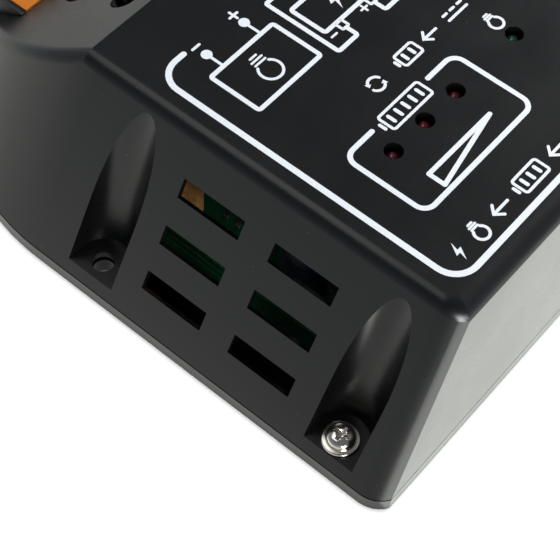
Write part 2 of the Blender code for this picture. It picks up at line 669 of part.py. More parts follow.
def terminal_screws(shoulder):
    """Slotted clamp screws. Each turns about its own upright axis and stays at its height."""
    head_low = shoulder + CLAMP_PLAY
    head_top = head_low + CLAMP_HEAD_HEIGHT
    tip = CONTACT_Z[1] + CLAMP_PLAY
    profile = [(CLAMP_TIP_RADIUS, tip), (CLAMP_SHANK_RADIUS, tip + CLAMP_CHAMFER),
               (CLAMP_SHANK_RADIUS, head_low), (CLAMP_HEAD_RADIUS, head_low),
               (CLAMP_HEAD_RADIUS, head_top - CLAMP_CHAMFER), (CLAMP_HEAD_RADIUS - CLAMP_CHAMFER, head_top)]
    slot_width, slot_depth = CLAMP_SLOT
    for k, x in enumerate(way_positions()):
        bm = bmesh.new()
        add_turned(bm, profile, 20)
        screw = make_object(f"terminal_screw_{k + 1}", bm, "plated_steel")
        slot = bmesh.new()
        add_box(slot, (-OVER, -slot_width / 2, head_top - slot_depth), (OVER, slot_width / 2, head_top + MM))
        cut(screw, slot)
        screw.location = (x, SCREW_Y, 0)


def clamp_cages():
    """Rising cages: the screw's thread lifts each one, so its floor presses the wire up to the contact."""
    low, high = CAGE_BOTTOM_Z, CAGE_BOTTOM_Z + CAGE_HEIGHT
    half_x, half_y = CAGE_HALF
    inner = half_x - CAGE_SIDE
    for k, x in enumerate(way_positions()):
        bm = bmesh.new()
        add_box(bm, (-half_x, -half_y, low), (half_x, half_y, high))
        cage = make_object(f"clamp_cage_{k + 1}", bm, "plated_steel")
        bm = bmesh.new()
        add_box(bm, (-inner, -OVER, low + CAGE_SIDE), (inner, OVER, high - CAGE_ROOF))
        cut(cage, bm)
        bm = bmesh.new()
        add_cylinder(bm, CAGE_THREAD_RADIUS, high - CAGE_ROOF - MM, high + MM, 0, 0, 20)
        cut(cage, bm)
        cage.location = (x, SCREW_Y, 0)


def terminal_contacts():
    """Bent contact bars: one arm inside the cage, one leg down through the board."""
    under = BOARD_TOP_Z - BOARD_THICKNESS - CONTACT_BELOW
    bottom, top = CONTACT_Z
    thick = top - bottom
    back = CONTACT_LEG_Y + thick / 2
    tip = SCREW_Y - CONTACT_REACH
    profile = [(tip, bottom), (back - thick, bottom), (back - thick, under),
               (back, under), (back, top), (tip, top)]
    for k, x in enumerate(way_positions()):
        bm = bmesh.new()
        add_prism(bm, profile, x - CONTACT_HALF, x + CONTACT_HALF, "X")
        make_object(f"terminal_contact_{k + 1}", bm, "tinned_brass", smooth=False)


def indicator_lights():
    """Domed lamps standing on spacers, so that each dome sits just inside its hole in the label face."""
    flange_radius, flange_low, flange_top = LIGHT_FLANGE
    spring_z = LIGHT_TOP_Z - LIGHT_RADIUS
    for name, x, colour in LIGHTS:
        profile = [(flange_radius, flange_low), (flange_radius, flange_top), (LIGHT_RADIUS, flange_top)]
        profile += [(LIGHT_RADIUS * math.cos(a), spring_z + LIGHT_RADIUS * math.sin(a))
                    for a in (math.pi / 2 * k / 4 for k in range(4))]
        profile.append((0, LIGHT_TOP_Z))
        bm = bmesh.new()
        add_turned(bm, profile, 16)
        light = make_object(name, bm, f"led_{colour}")
        light.location = (x, LIGHT_Y, 0)
        bm = bmesh.new()
        add_tube(bm, *SPACER_RADII, BOARD_TOP_Z + GAP, flange_low - GAP)
        spacer = make_object(name.replace("led", "led_spacer"), bm, "nylon_white")
        spacer.location = (x, LIGHT_Y, 0)


def add_tube(bm, inner, outer, low, high, segments=12):
    """An open tube about the Z axis."""
    corners = ((inner, low), (outer, low), (outer, high), (inner, high))
    rings = []
    for radius, z in corners:
        rings.append([bm.verts.new((radius * math.cos(a), radius * math.sin(a), z))
                      for a in (2 * math.pi * k / segments for k in range(segments))])
    for i in range(4):
        one, two = rings[i], rings[(i + 1) % 4]
        for k in range(segments):
            n = (k + 1) % segments
            bm.faces.new((one[k], one[n], two[n], two[k]))


def heat_sink():
    """A finned extrusion, fins towards the back wall."""
    pitch = (2 * SINK_HALF - SINK_FIN) / (SINK_FINS - 1)
    root = SINK_FRONT_Y + SINK_PLATE
    outline = [(-SINK_HALF, SINK_FRONT_Y), (SINK_HALF, SINK_FRONT_Y)]
    for k in reversed(range(SINK_FINS)):
        left = -SINK_HALF + k * pitch
        outline += [(left + SINK_FIN, root)] if k < SINK_FINS - 1 else []
        outline += [(left + SINK_FIN, SINK_BACK_Y), (left, SINK_BACK_Y)]
        outline += [(left, root)] if k > 0 else []
    bm = bmesh.new()
    add_prism(bm, outline, BOARD_TOP_Z + GAP, SINK_TOP_Z)
    sink = make_object("heat_sink", bm, "aluminium", smooth=False)
    bm = bmesh.new()
    for x in TRANSISTOR_X:
        verts = add_cylinder(bm, SINK_HOLE_RADIUS, -OVER, OVER, 0, 0, 16)
        face_front(bm, verts, x, SINK_FRONT_Y)
    cut(sink, bm)


def face_front(bm, verts, x, y):
    """Turns a shape about the Z axis to face the terminals, at the height of the transistors' screws."""
    matrix = Matrix.Translation((x, y, TRANSISTOR_HOLE_Z)) @ Matrix.Rotation(math.pi / 2, 4, "X")
    bmesh.ops.transform(bm, matrix=matrix, verts=verts)


def power_transistors():
    """Tabbed power transistors screwed to the heat sink."""
    tab_back = SINK_FRONT_Y - GAP
    tab_front = tab_back - TRANSISTOR_TAB
    body_front = tab_back - TRANSISTOR_DEPTH
    body_low, body_high, tab_top = TRANSISTOR_Z
    profile = [(body_front, body_low), (tab_back, body_low), (tab_back, tab_top), (tab_front, tab_top),
               (tab_front, body_high), (body_front, body_high)]
    half_x, half_y = LEG_HALF
    leg_y = tab_back - LEG_INSET
    for k, x in enumerate(TRANSISTOR_X):
        bm = bmesh.new()
        add_prism(bm, profile, x - TRANSISTOR_HALF, x + TRANSISTOR_HALF, "X")
        device = make_object(f"power_transistor_{k + 1}", bm, "moulding_black", smooth=False)
        bm = bmesh.new()
        face_front(bm, add_cylinder(bm, SCREW_HOLE_RADIUS, -OVER / 2, OVER / 2, 0, 0, 16), x, tab_back)
        cut(device, bm)
        bm = bmesh.new()
        for step in (-LEG_PITCH, 0, LEG_PITCH):
            add_box(bm, (x + step - half_x, leg_y - half_y, BOARD_TOP_Z + GAP),
                    (x + step + half_x, leg_y + half_y, body_low + MM))
        join(device, bm)
        bm = bmesh.new()
        face_front(bm, add_turned(bm, in_metres(SINK_SCREW), 12), x, tab_front - SEAT_PLAY)
        make_object(f"transistor_screw_{k + 1}", bm, "plated_steel")


def add_rounded_block(bm, low, high, radius):
    """A box with its upright edges rounded."""
    (x0, y0, z0), (x1, y1, z1) = low, high
    outline = []
    for cx, cy, start in ((x1 - radius, y1 - radius, 0), (x0 + radius, y1 - radius, 1),
                          (x0 + radius, y0 + radius, 2), (x1 - radius, y0 + radius, 3)):
        for k in range(5):
            a = math.pi / 2 * (start + k / 4)
            outline.append((cx + radius * math.cos(a), cy + radius * math.sin(a)))
    add_prism(bm, outline, z0, z1)


def board_parts():
    """The other parts that stand on the board."""
    low = BOARD_TOP_Z + GAP
    r, high = ELECTROLYTIC_RADIUS, low + ELECTROLYTIC_HEIGHT
    can_profile = [(r - 0.4 * MM, low), (r, low + 0.4 * MM), (r, high - 0.6 * MM), (r - 0.6 * MM, high)]
    for k, (x, y) in enumerate(ELECTROLYTICS):
        bm = bmesh.new()
        add_turned(bm, can_profile, 24)
        can = make_object(f"electrolytic_capacitor_{k + 1}", bm, "sleeve_dark")
        can.location = (x, y, 0)
    for k, (corner, size) in enumerate(FILM_CAPACITORS):
        x, y = corner[0] * MM, corner[1] * MM
        far = (x + size[0] * MM, y + size[1] * MM, low + size[2] * MM)
        bm = bmesh.new()
        add_rounded_block(bm, (x, y, low), far, CAPACITOR_CORNER)
        make_object(f"film_capacitor_{k + 1}", bm, "film_orange")
    for name, (corner, size, finish) in CHIPS.items():
        x, y = corner[0] * MM, corner[1] * MM
        bm = bmesh.new()
        add_box(bm, (x, y, low), (x + size[0] * MM, y + size[1] * MM, low + size[2] * MM))
        make_object(name, bm, finish, smooth=False)
    near, size = (Vector(v) * MM for v in CRYSTAL)
    near.z = low
    bm = bmesh.new()
    add_rounded_block(bm, near, near + size, CRYSTAL_CORNER)
    make_object("crystal", bm, "plated_steel")
    bm = bmesh.new()
    ring, end, bevel = DIODE_RADIUS, DIODE_HALF, DIODE_CHAMFER
    verts = add_turned(bm, ((ring - bevel, -end), (ring, bevel - end),
                            (ring, end - bevel), (ring - bevel, end)), 20)
    lift = Matrix.Translation((*DIODE_PLACE, low + ring))
    bmesh.ops.transform(bm, matrix=lift @ Matrix.Rotation(math.pi / 2, 4, "Y"), verts=verts)
    make_object("blocking_diode", bm, "moulding_black")


def case_screws():
    """Pan heads with a fixed washer and a cross recess, in the two back pockets."""
    seat = POCKET_FLOOR_Z + SEAT_PLAY
    top = max(level for radius, level in in_metres(CASE_SCREW))
    long, short = CROSS_HALF
    for k, side in enumerate((1, -1)):
        bm = bmesh.new()
        add_turned(bm, in_metres(CASE_SCREW), 28)
        screw = make_object(f"case_screw_{k + 1}", bm, "plated_steel")
        for half_x, half_y in ((long, short), (short, long)):
            bm = bmesh.new()
            add_box(bm, (-half_x, -half_y, top - CROSS_DEPTH), (half_x, half_y, top + MM))
            cut(screw, bm)
        screw.location = (side * POCKET_X, POCKET_BACK_Y, seat)


def board_screws():
    for k, (x, y) in enumerate(BOARD_POSTS):
        bm = bmesh.new()
        add_turned(bm, in_metres(BOARD_SCREW), 12)
        screw = make_object(f"board_screw_{k + 1}", bm, "plated_steel")
        screw.location = (x, y, BOARD_TOP_Z + SEAT_PLAY)


def main():
    clear_scene()
    top_cover()
    base()
    circuit_board()
    shoulder = terminal_housing()
    terminal_end_plates()
    terminal_screws(shoulder)
    clamp_cages()
    terminal_contacts()
    indicator_lights()
    heat_sink()
    power_transistors()
    board_parts()
    case_screws()
    board_screws()


main()
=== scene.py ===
"""Looks of a charge controller: finishes, label, fine parts, floor, light and camera round its CAD frame."""

import math

import bmesh
import bpy
from mathutils import Matrix, Vector


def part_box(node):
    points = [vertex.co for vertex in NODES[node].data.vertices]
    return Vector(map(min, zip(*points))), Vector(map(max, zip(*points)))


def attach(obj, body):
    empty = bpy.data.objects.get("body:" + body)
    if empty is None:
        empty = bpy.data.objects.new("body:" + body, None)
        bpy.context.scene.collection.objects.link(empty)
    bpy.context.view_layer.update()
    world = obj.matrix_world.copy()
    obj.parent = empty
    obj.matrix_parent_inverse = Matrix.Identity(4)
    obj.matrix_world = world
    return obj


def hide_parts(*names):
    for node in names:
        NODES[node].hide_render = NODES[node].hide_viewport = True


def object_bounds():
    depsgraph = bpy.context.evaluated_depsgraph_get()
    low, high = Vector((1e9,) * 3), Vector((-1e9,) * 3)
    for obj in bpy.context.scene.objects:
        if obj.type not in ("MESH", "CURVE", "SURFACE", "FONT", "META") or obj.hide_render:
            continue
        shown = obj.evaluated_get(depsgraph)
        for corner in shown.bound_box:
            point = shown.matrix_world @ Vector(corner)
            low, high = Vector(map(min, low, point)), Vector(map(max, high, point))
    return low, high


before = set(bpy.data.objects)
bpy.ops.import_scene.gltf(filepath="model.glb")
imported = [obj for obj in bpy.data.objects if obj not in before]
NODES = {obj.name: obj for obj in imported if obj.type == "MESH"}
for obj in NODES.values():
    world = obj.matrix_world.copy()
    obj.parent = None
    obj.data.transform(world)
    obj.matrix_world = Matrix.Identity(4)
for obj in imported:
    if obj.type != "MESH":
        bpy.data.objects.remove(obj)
cad_low, cad_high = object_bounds()

MM = 0.001
WAYS = range(1, 7)
LAMP_NODES = sorted(n for n in NODES if n.startswith("led_") and "spacer" not in n)

# Camera: it looks down on the corner between the vented end and the back wall, close up.
CAMERA_AZIMUTH = 126.4
CAMERA_ELEVATION = 56.55
CAMERA_ROLL = 4.13
CAMERA_DISTANCE = 284.8 * MM
CAMERA_LENS = 102.05
CAMERA_SENSOR = 36.0
CAMERA_TARGET_X = 59.8 * MM
CAMERA_TARGET_Y = 37.1 * MM

# Label print. The label face is the flat top of the cover, and all places are from its middle.
LABEL_Z = cad_high.z
INK_DEPTH = 0.04 * MM
INK_SINK = 0.01 * MM
INK_STEP = 0.0015 * MM
LABEL_FRAME_X = 39.03
LABEL_FRAME_BACK = 62.03
LABEL_FRAME_FRONT = -11.4
LABEL_FRAME_OPEN = 31.4
LABEL_FRAME_RADIUS = 5.2
LABEL_FRAME_LINE = 1.3
SYMBOL_LINE = 1.0
THIN_LINE = 0.65
PICTOGRAM_LINE = 0.62
SUN_RAYS = 8
INK_LEVELS = 12
LAMP_BOX = ((-4.39, 28.5), (30.43, 47.98))
LAMP_BOX_OPEN = (4.1, 21.94)      # its front line is broken between these, round the battery
LAMP_BOX_RADIUS = 2.6
WEDGE = ((3.22, 42.95), (22.88, 42.86), (22.88, 46.65))
LAMP_SIGN_Y = 21.8
TITLE_Y = 57.6

# Edges of the CAD solids are rounded by this much.
CASE_EDGE = 0.35 * MM
SMALL_EDGE = 0.1 * MM
CASE_EDGE_ANGLE = 11.0
ARC_STEPS = 8

# The floor glows by itself, and how brightly depends on what sees it: the camera, a glossy reflection or
# In glossy reflections it also depends on the bearing, in degrees, round the object's back
# right corner: a faint glare in front, the strongest by the corner, and a lesser one behind. These are set
# for this camera and don't stand for real lamps.
FLOOR_SEEN = 0.75
FLOOR_DIFFUSE = 0.9
FLOOR_GLOSSY = 0.66
FRONT_GLARE = 0.28
FLOOR_GLARE = 2.35
CORNER_GLARE = 4.3
GLARE_FRONT = (-25.0, -60.0)
GLARE_START = (38.0, 58.0)
GLARE_FADE = (82.0, 118.0)
# Painted shadow on the floor under the object's two mount holes: within this reach of each hole the floor
# glows less to light and reflections, less still to the camera, and its paper is darker.
HOLE_SHADE_GLOW = 0.3
MOUNT_HOLE = (61.2 * MM, -7.6 * MM)
HOLE_SHADE_REACH = 3.4 * MM
HOLE_SHADE_SEEN = 0.07
CONTACT_SHADE = 1.6 * MM          # the floor's glow is darkened this near to the object, a painted contact shadow

# The studio's brightness by height, from the horizon at 0 to straight up at 1.
SKY = ((-0.02, 0.54), (0.0, 0.54), (0.14, 0.36), (0.5, 0.2), (0.83, 0.13), (1.0, 0.12))
SKY_TINT = (0.93, 1.0, 1.09)

# Rectangular lights: name, place from the object's middle in metres, size in metres and power in watts.
SOFTBOXES = (
    ("softbox_top", (0.04, -0.36, 0.93), (0.6, 0.5), 1.15),
    ("softbox_main", (-0.95, 0.1, 0.38), (0.4, 0.4), 18.6),
    ("softbox_back", (0.5, 0.8, 0.32), (0.32, 0.32), 6.0),
)


# ---------------------------------------------------------------- node helpers


def add_node(tree, kind, settings=None, **inputs):
    """Adds a shader node. Inputs are values or output sockets; i3 is input 3, and _ stands for a space."""
    made = tree.nodes.new("ShaderNode" + kind)
    for key, value in (settings or {}).items():
        setattr(made, key, value)
    for key, value in inputs.items():
        by_number = key[0] == "i" and key[1:].isdigit()
        socket = made.inputs[int(key[1:]) if by_number else key.replace("_", " ")]
        if isinstance(value, bpy.types.NodeSocket):
            tree.links.new(value, socket)
        else:
            socket.default_value = value
    return made


def new_material(name):
    """A material with an empty Principled shader."""
    material = bpy.data.materials.new(name)
    material.use_nodes = True
    tree = material.node_tree
    return material, tree, tree.nodes["Principled BSDF"]


def place(tree, scale=(1.0, 1.0, 1.0)):
    """The surface point in millimetres, stretched by scale."""
    point = add_node(tree, "TexCoord").outputs["Object"]
    mapping = add_node(tree, "Mapping", Vector=point, Scale=[1000.0 * s for s in scale])
    return mapping.outputs[0]


def noise(tree, size, detail=2.0, roughness=0.5, stretch=(1.0, 1.0, 1.0)):
    """Noise between 0 and 1 whose grains are about size millimetres."""
    return add_node(
        tree, "TexNoise", Vector=place(tree, stretch), Scale=1.0 / size, Detail=detail, Roughness=roughness
    ).outputs["Fac"]


def remap(tree, value, low, high, to_low=0.0, to_high=1.0):
    """The value's range low..high turned into to_low..to_high and clamped there."""
    made = add_node(tree, "MapRange", Value=value)
    for name, number in (("From Min", low), ("From Max", high), ("To Min", to_low), ("To Max", to_high)):
        made.inputs[name].default_value = number
    return made.outputs[0]


def math_node(tree, operation, a, b=0.0):
    return add_node(tree, "Math", {"operation": operation}, i0=a, i1=b).outputs[0]


def mix_colour(tree, share, a, b):
    """Colour a where share is 0, colour b where it is 1."""
    made = add_node(tree, "Mix", {"data_type": "RGBA"}, i0=share, i6=a, i7=b)
    return made.outputs[2]


def grey(value, tint=(1.0, 1.0, 1.0)):
    return (value * tint[0], value * tint[1], value * tint[2], 1.0)


def bump(tree, layers):
    """Bump from (height, depth in millimetres) layers, one on top of the other."""
    normal = None
    for height, depth in layers:
        made = add_node(tree, "Bump", Height=height, Distance=depth * MM)
        if normal is not None:
            tree.links.new(normal, made.inputs["Normal"])
        normal = made.outputs[0]
    return normal


def set_inputs(tree, shader, **inputs):
    for key, value in inputs.items():
        socket = shader.inputs[key.replace("_", " ")]
        if isinstance(value, bpy.types.NodeSocket):
            tree.links.new(value, socket)
        else:
            socket.default_value = value


# ------------------------------------------------------------------- materials


def black_plastic(name, shade, dust):
    """Satin black ABS: fine spark-eroded grain, faint flow waves, uneven gloss and a few specks of dust."""
    material, tree, shader = new_material(name)
    grain = noise(tree, 0.16, detail=3.0)
    waves = noise(tree, 9.0, detail=1.0)
    smudge = noise(tree, 22.0, detail=4.0, roughness=0.62)
    cells = add_node(tree, "TexVoronoi", {"distance": "EUCLIDEAN"}, Vector=place(tree), Scale=1.0 / 2.6)
    speck_size = math_node(tree, "MULTIPLY", cells.outputs["Color"], 0.035)
    specks = math_node(tree, "LESS_THAN", cells.outputs["Distance"], speck_size)
    specks = math_node(tree, "MULTIPLY", specks, dust)
    dark, light = grey(shade * 0.85, (0.95, 1.0, 1.04)), grey(shade * 1.2, (0.98, 1.0, 1.0))
    tone = mix_colour(tree, smudge, dark, light)
    tone = mix_colour(tree, remap(tree, grain, 0.35, 0.75, 0.0, 0.35), tone, grey(shade * 1.8))
    tone = mix_colour(tree, specks, tone, grey(0.22))
    rough = remap(tree, smudge, 0.3, 0.7, 0.245, 0.3)
    set_inputs(
        tree,
        shader,
        Base_Color=tone,
        Roughness=rough,
        IOR=1.52,
        Normal=bump(tree, [(waves, 0.016), (grain, 0.012)]),
    )
    return material


def ink():
    """Screen-printed white ink, a little uneven in cover and gloss."""
    material, tree, shader = new_material("ink_white")
    thin = noise(tree, 0.5, detail=5.0, roughness=0.7)
    tone = mix_colour(tree, remap(tree, thin, 0.3, 0.7), (0.76, 0.8, 0.85, 1), (0.9, 0.93, 0.96, 1))
    set_inputs(tree, shader, Base_Color=tone, Roughness=0.5, Normal=bump(tree, [(thin, 0.006)]))
    return material


def orange_plastic():
    """Glass-filled orange polyamide of the terminal block."""
    material, tree, shader = new_material("terminal_orange")
    cloud = noise(tree, 7.0, detail=4.0)
    grain = noise(tree, 0.25, detail=3.0)
    tone = mix_colour(tree, cloud, (0.5, 0.13, 0.006, 1), (0.78, 0.24, 0.012, 1))
    tone = mix_colour(tree, remap(tree, grain, 0.5, 0.8, 0.0, 0.3), tone, (0.85, 0.32, 0.05, 1))
    set_inputs(
        tree,
        shader,
        Base_Color=tone,
        Roughness=remap(tree, cloud, 0.3, 0.7, 0.34, 0.46),
        Subsurface_Weight=0.12,
        Subsurface_Radius=(1.0 * MM, 0.4 * MM, 0.1 * MM),
        Normal=bump(tree, [(grain, 0.01)]),
    )
    return material


def metal(name, colour, dark, rough, grain_size=0.4, stretch=(1.0, 1.0, 1.0), depth=0.004):
    """A bare or plated metal: fine drawn lines, cloudy tarnish and uneven gloss."""
    material, tree, shader = new_material(name)
    lines = noise(tree, grain_size, detail=4.0, stretch=stretch)
    cloud = noise(tree, 3.0, detail=4.0, roughness=0.6)
    tone = mix_colour(tree, remap(tree, cloud, 0.35, 0.75), colour, dark)
    set_inputs(
        tree,
        shader,
        Base_Color=tone,
        Metallic=1.0,
        Roughness=remap(tree, cloud, 0.3, 0.7, rough * 0.75, rough * 1.3),
        Normal=bump(tree, [(lines, depth)]),
    )
    return material


def moulded(name, colour, light, rough=0.5, grain_size=0.2, depth=0.01):
    """Moulded epoxy or nylon with a matt grain and slight mottling."""
    material, tree, shader = new_material(name)
    grain = noise(tree, grain_size, detail=3.0)
    cloud = noise(tree, 4.0, detail=3.0)
    tone = mix_colour(tree, cloud, colour, light)
    set_inputs(
        tree,
        shader,
        Base_Color=tone,
        Roughness=remap(tree, cloud, 0.3, 0.7, rough * 0.85, rough * 1.15),
        Normal=bump(tree, [(grain, depth)]),
    )
    return material


def board_laminate():
    """Green solder mask over woven glass, with the yellower bare laminate on the cut edges."""
    material, tree, shader = new_material("board_green")
    weave = add_node(tree, "TexWave", {"bands_direction": "X"}, Vector=place(tree), Scale=1.6, Distortion=0.6)
    cross = add_node(tree, "TexWave", {"bands_direction": "Y"}, Vector=place(tree), Scale=1.6, Distortion=0.6)
    cloth = math_node(tree, "MULTIPLY", weave.outputs["Fac"], cross.outputs["Fac"])
    tone = mix_colour(tree, cloth, (0.006, 0.07, 0.03, 1), (0.01, 0.115, 0.048, 1))
    up = add_node(tree, "SeparateXYZ", Vector=add_node(tree, "NewGeometry").outputs["Normal"]).outputs["Z"]
    face = remap(tree, math_node(tree, "ABSOLUTE", up), 0.4, 0.6)
    fibres = noise(tree, 0.3, stretch=(1.0, 1.0, 6.0))
    edge = mix_colour(tree, fibres, (0.06, 0.12, 0.035, 1), (0.16, 0.2, 0.07, 1))
    set_inputs(
        tree,
        shader,
        Base_Color=mix_colour(tree, face, edge, tone),
        Roughness=0.32,
        Normal=bump(tree, [(cloth, 0.01)]),
    )
    return material


def lamp_plastic(name, colour, deep):
    """Tinted clear epoxy of a lamp."""
    material, tree, shader = new_material(name)
    cloud = noise(tree, 0.8, detail=2.0)
    set_inputs(
        tree,
        shader,
        Base_Color=mix_colour(tree, cloud, colour, deep),
        Roughness=0.14,
        Transmission_Weight=0.15,
        IOR=1.5,
        Coat_Weight=0.6,
        Normal=bump(tree, [(cloud, 0.01)]),
    )
    return material


def make_materials():
    nickel = metal("plated_steel", (0.74, 0.71, 0.66, 1), (0.42, 0.4, 0.37, 1), 0.22)
    return {
        "case_black": black_plastic("case_black", 0.0035, 1.0),
        "base_black": black_plastic("base_black", 0.0035, 0.8),
        # The case's edge rounds are a lighter grey: a painted highlight.
        "case_edge_highlight": black_plastic("case_edge_highlight", 0.032, 0.0),
        "ink": ink(),
        "board_green": board_laminate(),
        "terminal_orange": orange_plastic(),
        "plated_steel": nickel,
        "screw_nickel": metal(
            "screw_nickel", (0.9, 0.86, 0.79, 1), (0.72, 0.68, 0.6, 1), 0.16, 0.3, (1, 1, 1), 0.002
        ),
        "solder": metal("solder", (0.8, 0.8, 0.8, 1), (0.5, 0.5, 0.5, 1), 0.28, 0.3),
        "board_track": moulded(
            "board_track", (0.012, 0.13, 0.055, 1), (0.02, 0.17, 0.07, 1), 0.3, 0.4, 0.004
        ),
        "board_ink": moulded("board_ink", (0.6, 0.62, 0.6, 1), (0.75, 0.76, 0.74, 1), 0.6, 0.2, 0.003),
        "tinned_brass": metal(
            "tinned_brass", (0.72, 0.7, 0.64, 1), (0.5, 0.44, 0.34, 1), 0.3, 0.3, (1, 6, 1)
        ),
        "aluminium": metal(
            "aluminium", (0.78, 0.79, 0.8, 1), (0.55, 0.56, 0.58, 1), 0.36, 0.25, (8, 8, 0.6), 0.01
        ),
        "moulding_black": moulded("moulding_black", (0.012, 0.012, 0.013, 1), (0.03, 0.03, 0.031, 1), 0.55),
        "nylon_white": moulded("nylon_white", (0.62, 0.62, 0.58, 1), (0.78, 0.78, 0.74, 1), 0.45),
        "film_orange": moulded("film_orange", (0.72, 0.33, 0.11, 1), (0.85, 0.42, 0.15, 1), 0.3, 0.5),
        "sleeve_dark": moulded("sleeve_dark", (0.008, 0.01, 0.016, 1), (0.02, 0.024, 0.034, 1), 0.28, 0.8),
        "led_red": lamp_plastic("led_red", (0.22, 0.01, 0.024, 1), (0.12, 0.008, 0.016, 1)),
        "led_green": lamp_plastic("led_green", (0.015, 0.16, 0.08, 1), (0.01, 0.09, 0.05, 1)),
    }


# -------------------------------------------------------------------- CAD nodes


def soften(node, edge, angle=30.0, segments=2, highlight_material=None):
    """Smooth shading and small real edge rounds on a CAD node, all by modifiers."""
    mesh = node.data
    for name in ("custom_normal", "sharp_edge", "sharp_face"):
        if name in mesh.attributes:
            mesh.attributes.remove(mesh.attributes[name])
    mesh.shade_smooth()
    weld = node.modifiers.new("weld", "WELD")
    weld.merge_threshold = 1e-6
    planar = node.modifiers.new("planar", "DECIMATE")
    planar.decimate_type = "DISSOLVE"
    planar.angle_limit = math.radians(0.4)
    rounds = node.modifiers.new("rounds", "BEVEL")
    rounds.width = edge
    rounds.segments = segments
    rounds.limit_method = "ANGLE"
    rounds.angle_limit = math.radians(angle)
    rounds.use_clamp_overlap = True
    # The rounds' faces may take a second, lighter material: a painted highlight along the edges.
    if highlight_material:
        mesh.materials.append(highlight_material)
        rounds.material = 1
    normals = node.modifiers.new("normals", "WEIGHTED_NORMAL")
    normals.weight = 80
    normals.keep_sharp = True


def dress_nodes(materials):
    """Gives every CAD node its material, by the record's slot, and its edge rounds.

    The case's rounds get a lighter grey plastic: a painted highlight, for the light that moulded edges catch.
    """
    for name, node in NODES.items():
        slot_name = node.data.materials[0].name.split(".")[0]
        node.data.materials[0] = materials[slot_name]
        if name in ("top_cover", "base"):
            soften(node, CASE_EDGE, CASE_EDGE_ANGLE, 2, materials["case_edge_highlight"])
        else:
            soften(node, SMALL_EDGE)


# ----------------------------------------------------------------- mesh helpers


def new_piece(name, bm, material, body="case"):
    """Turns a bmesh drawn in millimetres in the row frame into a piece that rides on a body."""
    bmesh.ops.recalc_face_normals(bm, faces=bm.faces)
    bmesh.ops.scale(bm, vec=(MM, MM, MM), verts=bm.verts)
    mesh = bpy.data.meshes.new(name)
    bm.to_mesh(mesh)
    bm.free()
    piece = bpy.data.objects.new(name, mesh)
    bpy.context.scene.collection.objects.link(piece)
    mesh.materials.append(material)
    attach(piece, body)
    return piece


def rounded_path(corners, radius, closed=False):
    """Points along a flat path whose corners are arcs of the given radius."""
    count = len(corners)
    points = []
    for i, corner in enumerate(corners):
        here = Vector(corner)
        if radius <= 0 or (not closed and i in (0, count - 1)):
            points.append(here)
            continue
        toward = (Vector(corners[i - 1]) - here).normalized()
        away = (Vector(corners[(i + 1) % count]) - here).normalized()
        half = toward.angle(away) / 2
        centre = here + (toward + away).normalized() * (radius / math.sin(half))
        start = here + toward * (radius / math.tan(half)) - centre
        turn = math.pi - 2 * half
        if toward.x * away.y - toward.y * away.x > 0:
            turn = -turn
        for k in range(ARC_STEPS + 1):
            angle = turn * k / ARC_STEPS
            points.append(centre + Matrix.Rotation(angle, 2) @ start)
    return points


def arc(centre, radius, start, end, steps=24):
    """Points on an arc, angles in degrees."""
    angles = [math.radians(start + (end - start) * k / steps) for k in range(steps + 1)]
    return [Vector((centre[0] + radius * math.cos(a), centre[1] + radius * math.sin(a))) for a in angles]


def add_line(bm, path, width, low, high, closed=False):
    """A raised line of constant width along a flat path, with round ends."""
    half = width / 2
    count = len(path)
    sections = []
    for i, point in enumerate(path):
        before = path[i - 1] if closed or i else None
        after = path[(i + 1) % count] if closed or i < count - 1 else None
        ways = []
        if before is not None:
            ways.append((point - before).normalized())
        if after is not None:
            ways.append((after - point).normalized())
        along = sum(ways, Vector((0, 0))).normalized()
        across = Vector((-along.y, along.x))
        reach = half / max(0.35, along.dot(ways[0]))
        sections.append((point, across * reach))
    if not closed:
        caps = [math.radians(a) for a in (18, 36, 54, 72, 86)]
        first = (path[0] - path[1]).normalized()
        last = (path[-1] - path[-2]).normalized()
        head = [(path[0] + first * half * math.sin(a), sections[0][1] * math.cos(a)) for a in reversed(caps)]
        tail = [(path[-1] + last * half * math.sin(a), sections[-1][1] * math.cos(a)) for a in caps]
        sections = head + sections + tail
    rings = []
    for point, across in sections:
        left, right = point + across, point - across
        ring = [(left, low), (right, low), (right, high), (left, high)]
        rings.append([bm.verts.new((p.x, p.y, z)) for p, z in ring])
    pairs = list(zip(rings, rings[1:])) + ([(rings[-1], rings[0])] if closed else [])
    for a, b in pairs:
        for k in range(4):
            bm.faces.new((a[k], a[(k + 1) % 4], b[(k + 1) % 4], b[k]))
    if not closed:
        bm.faces.new(rings[0])
        bm.faces.new(rings[-1])


def add_plate(bm, outline, low, high):
    """A flat plate with this outline."""
    bottom = [bm.verts.new((p[0], p[1], low)) for p in outline]
    top = [bm.verts.new((p[0], p[1], high)) for p in outline]
    bm.faces.new(bottom)
    bm.faces.new(top)
    for k in range(len(outline)):
        after = (k + 1) % len(outline)
        bm.faces.new((bottom[k], bottom[after], top[after], top[k]))


# ------------------------------------------------------------------ label print


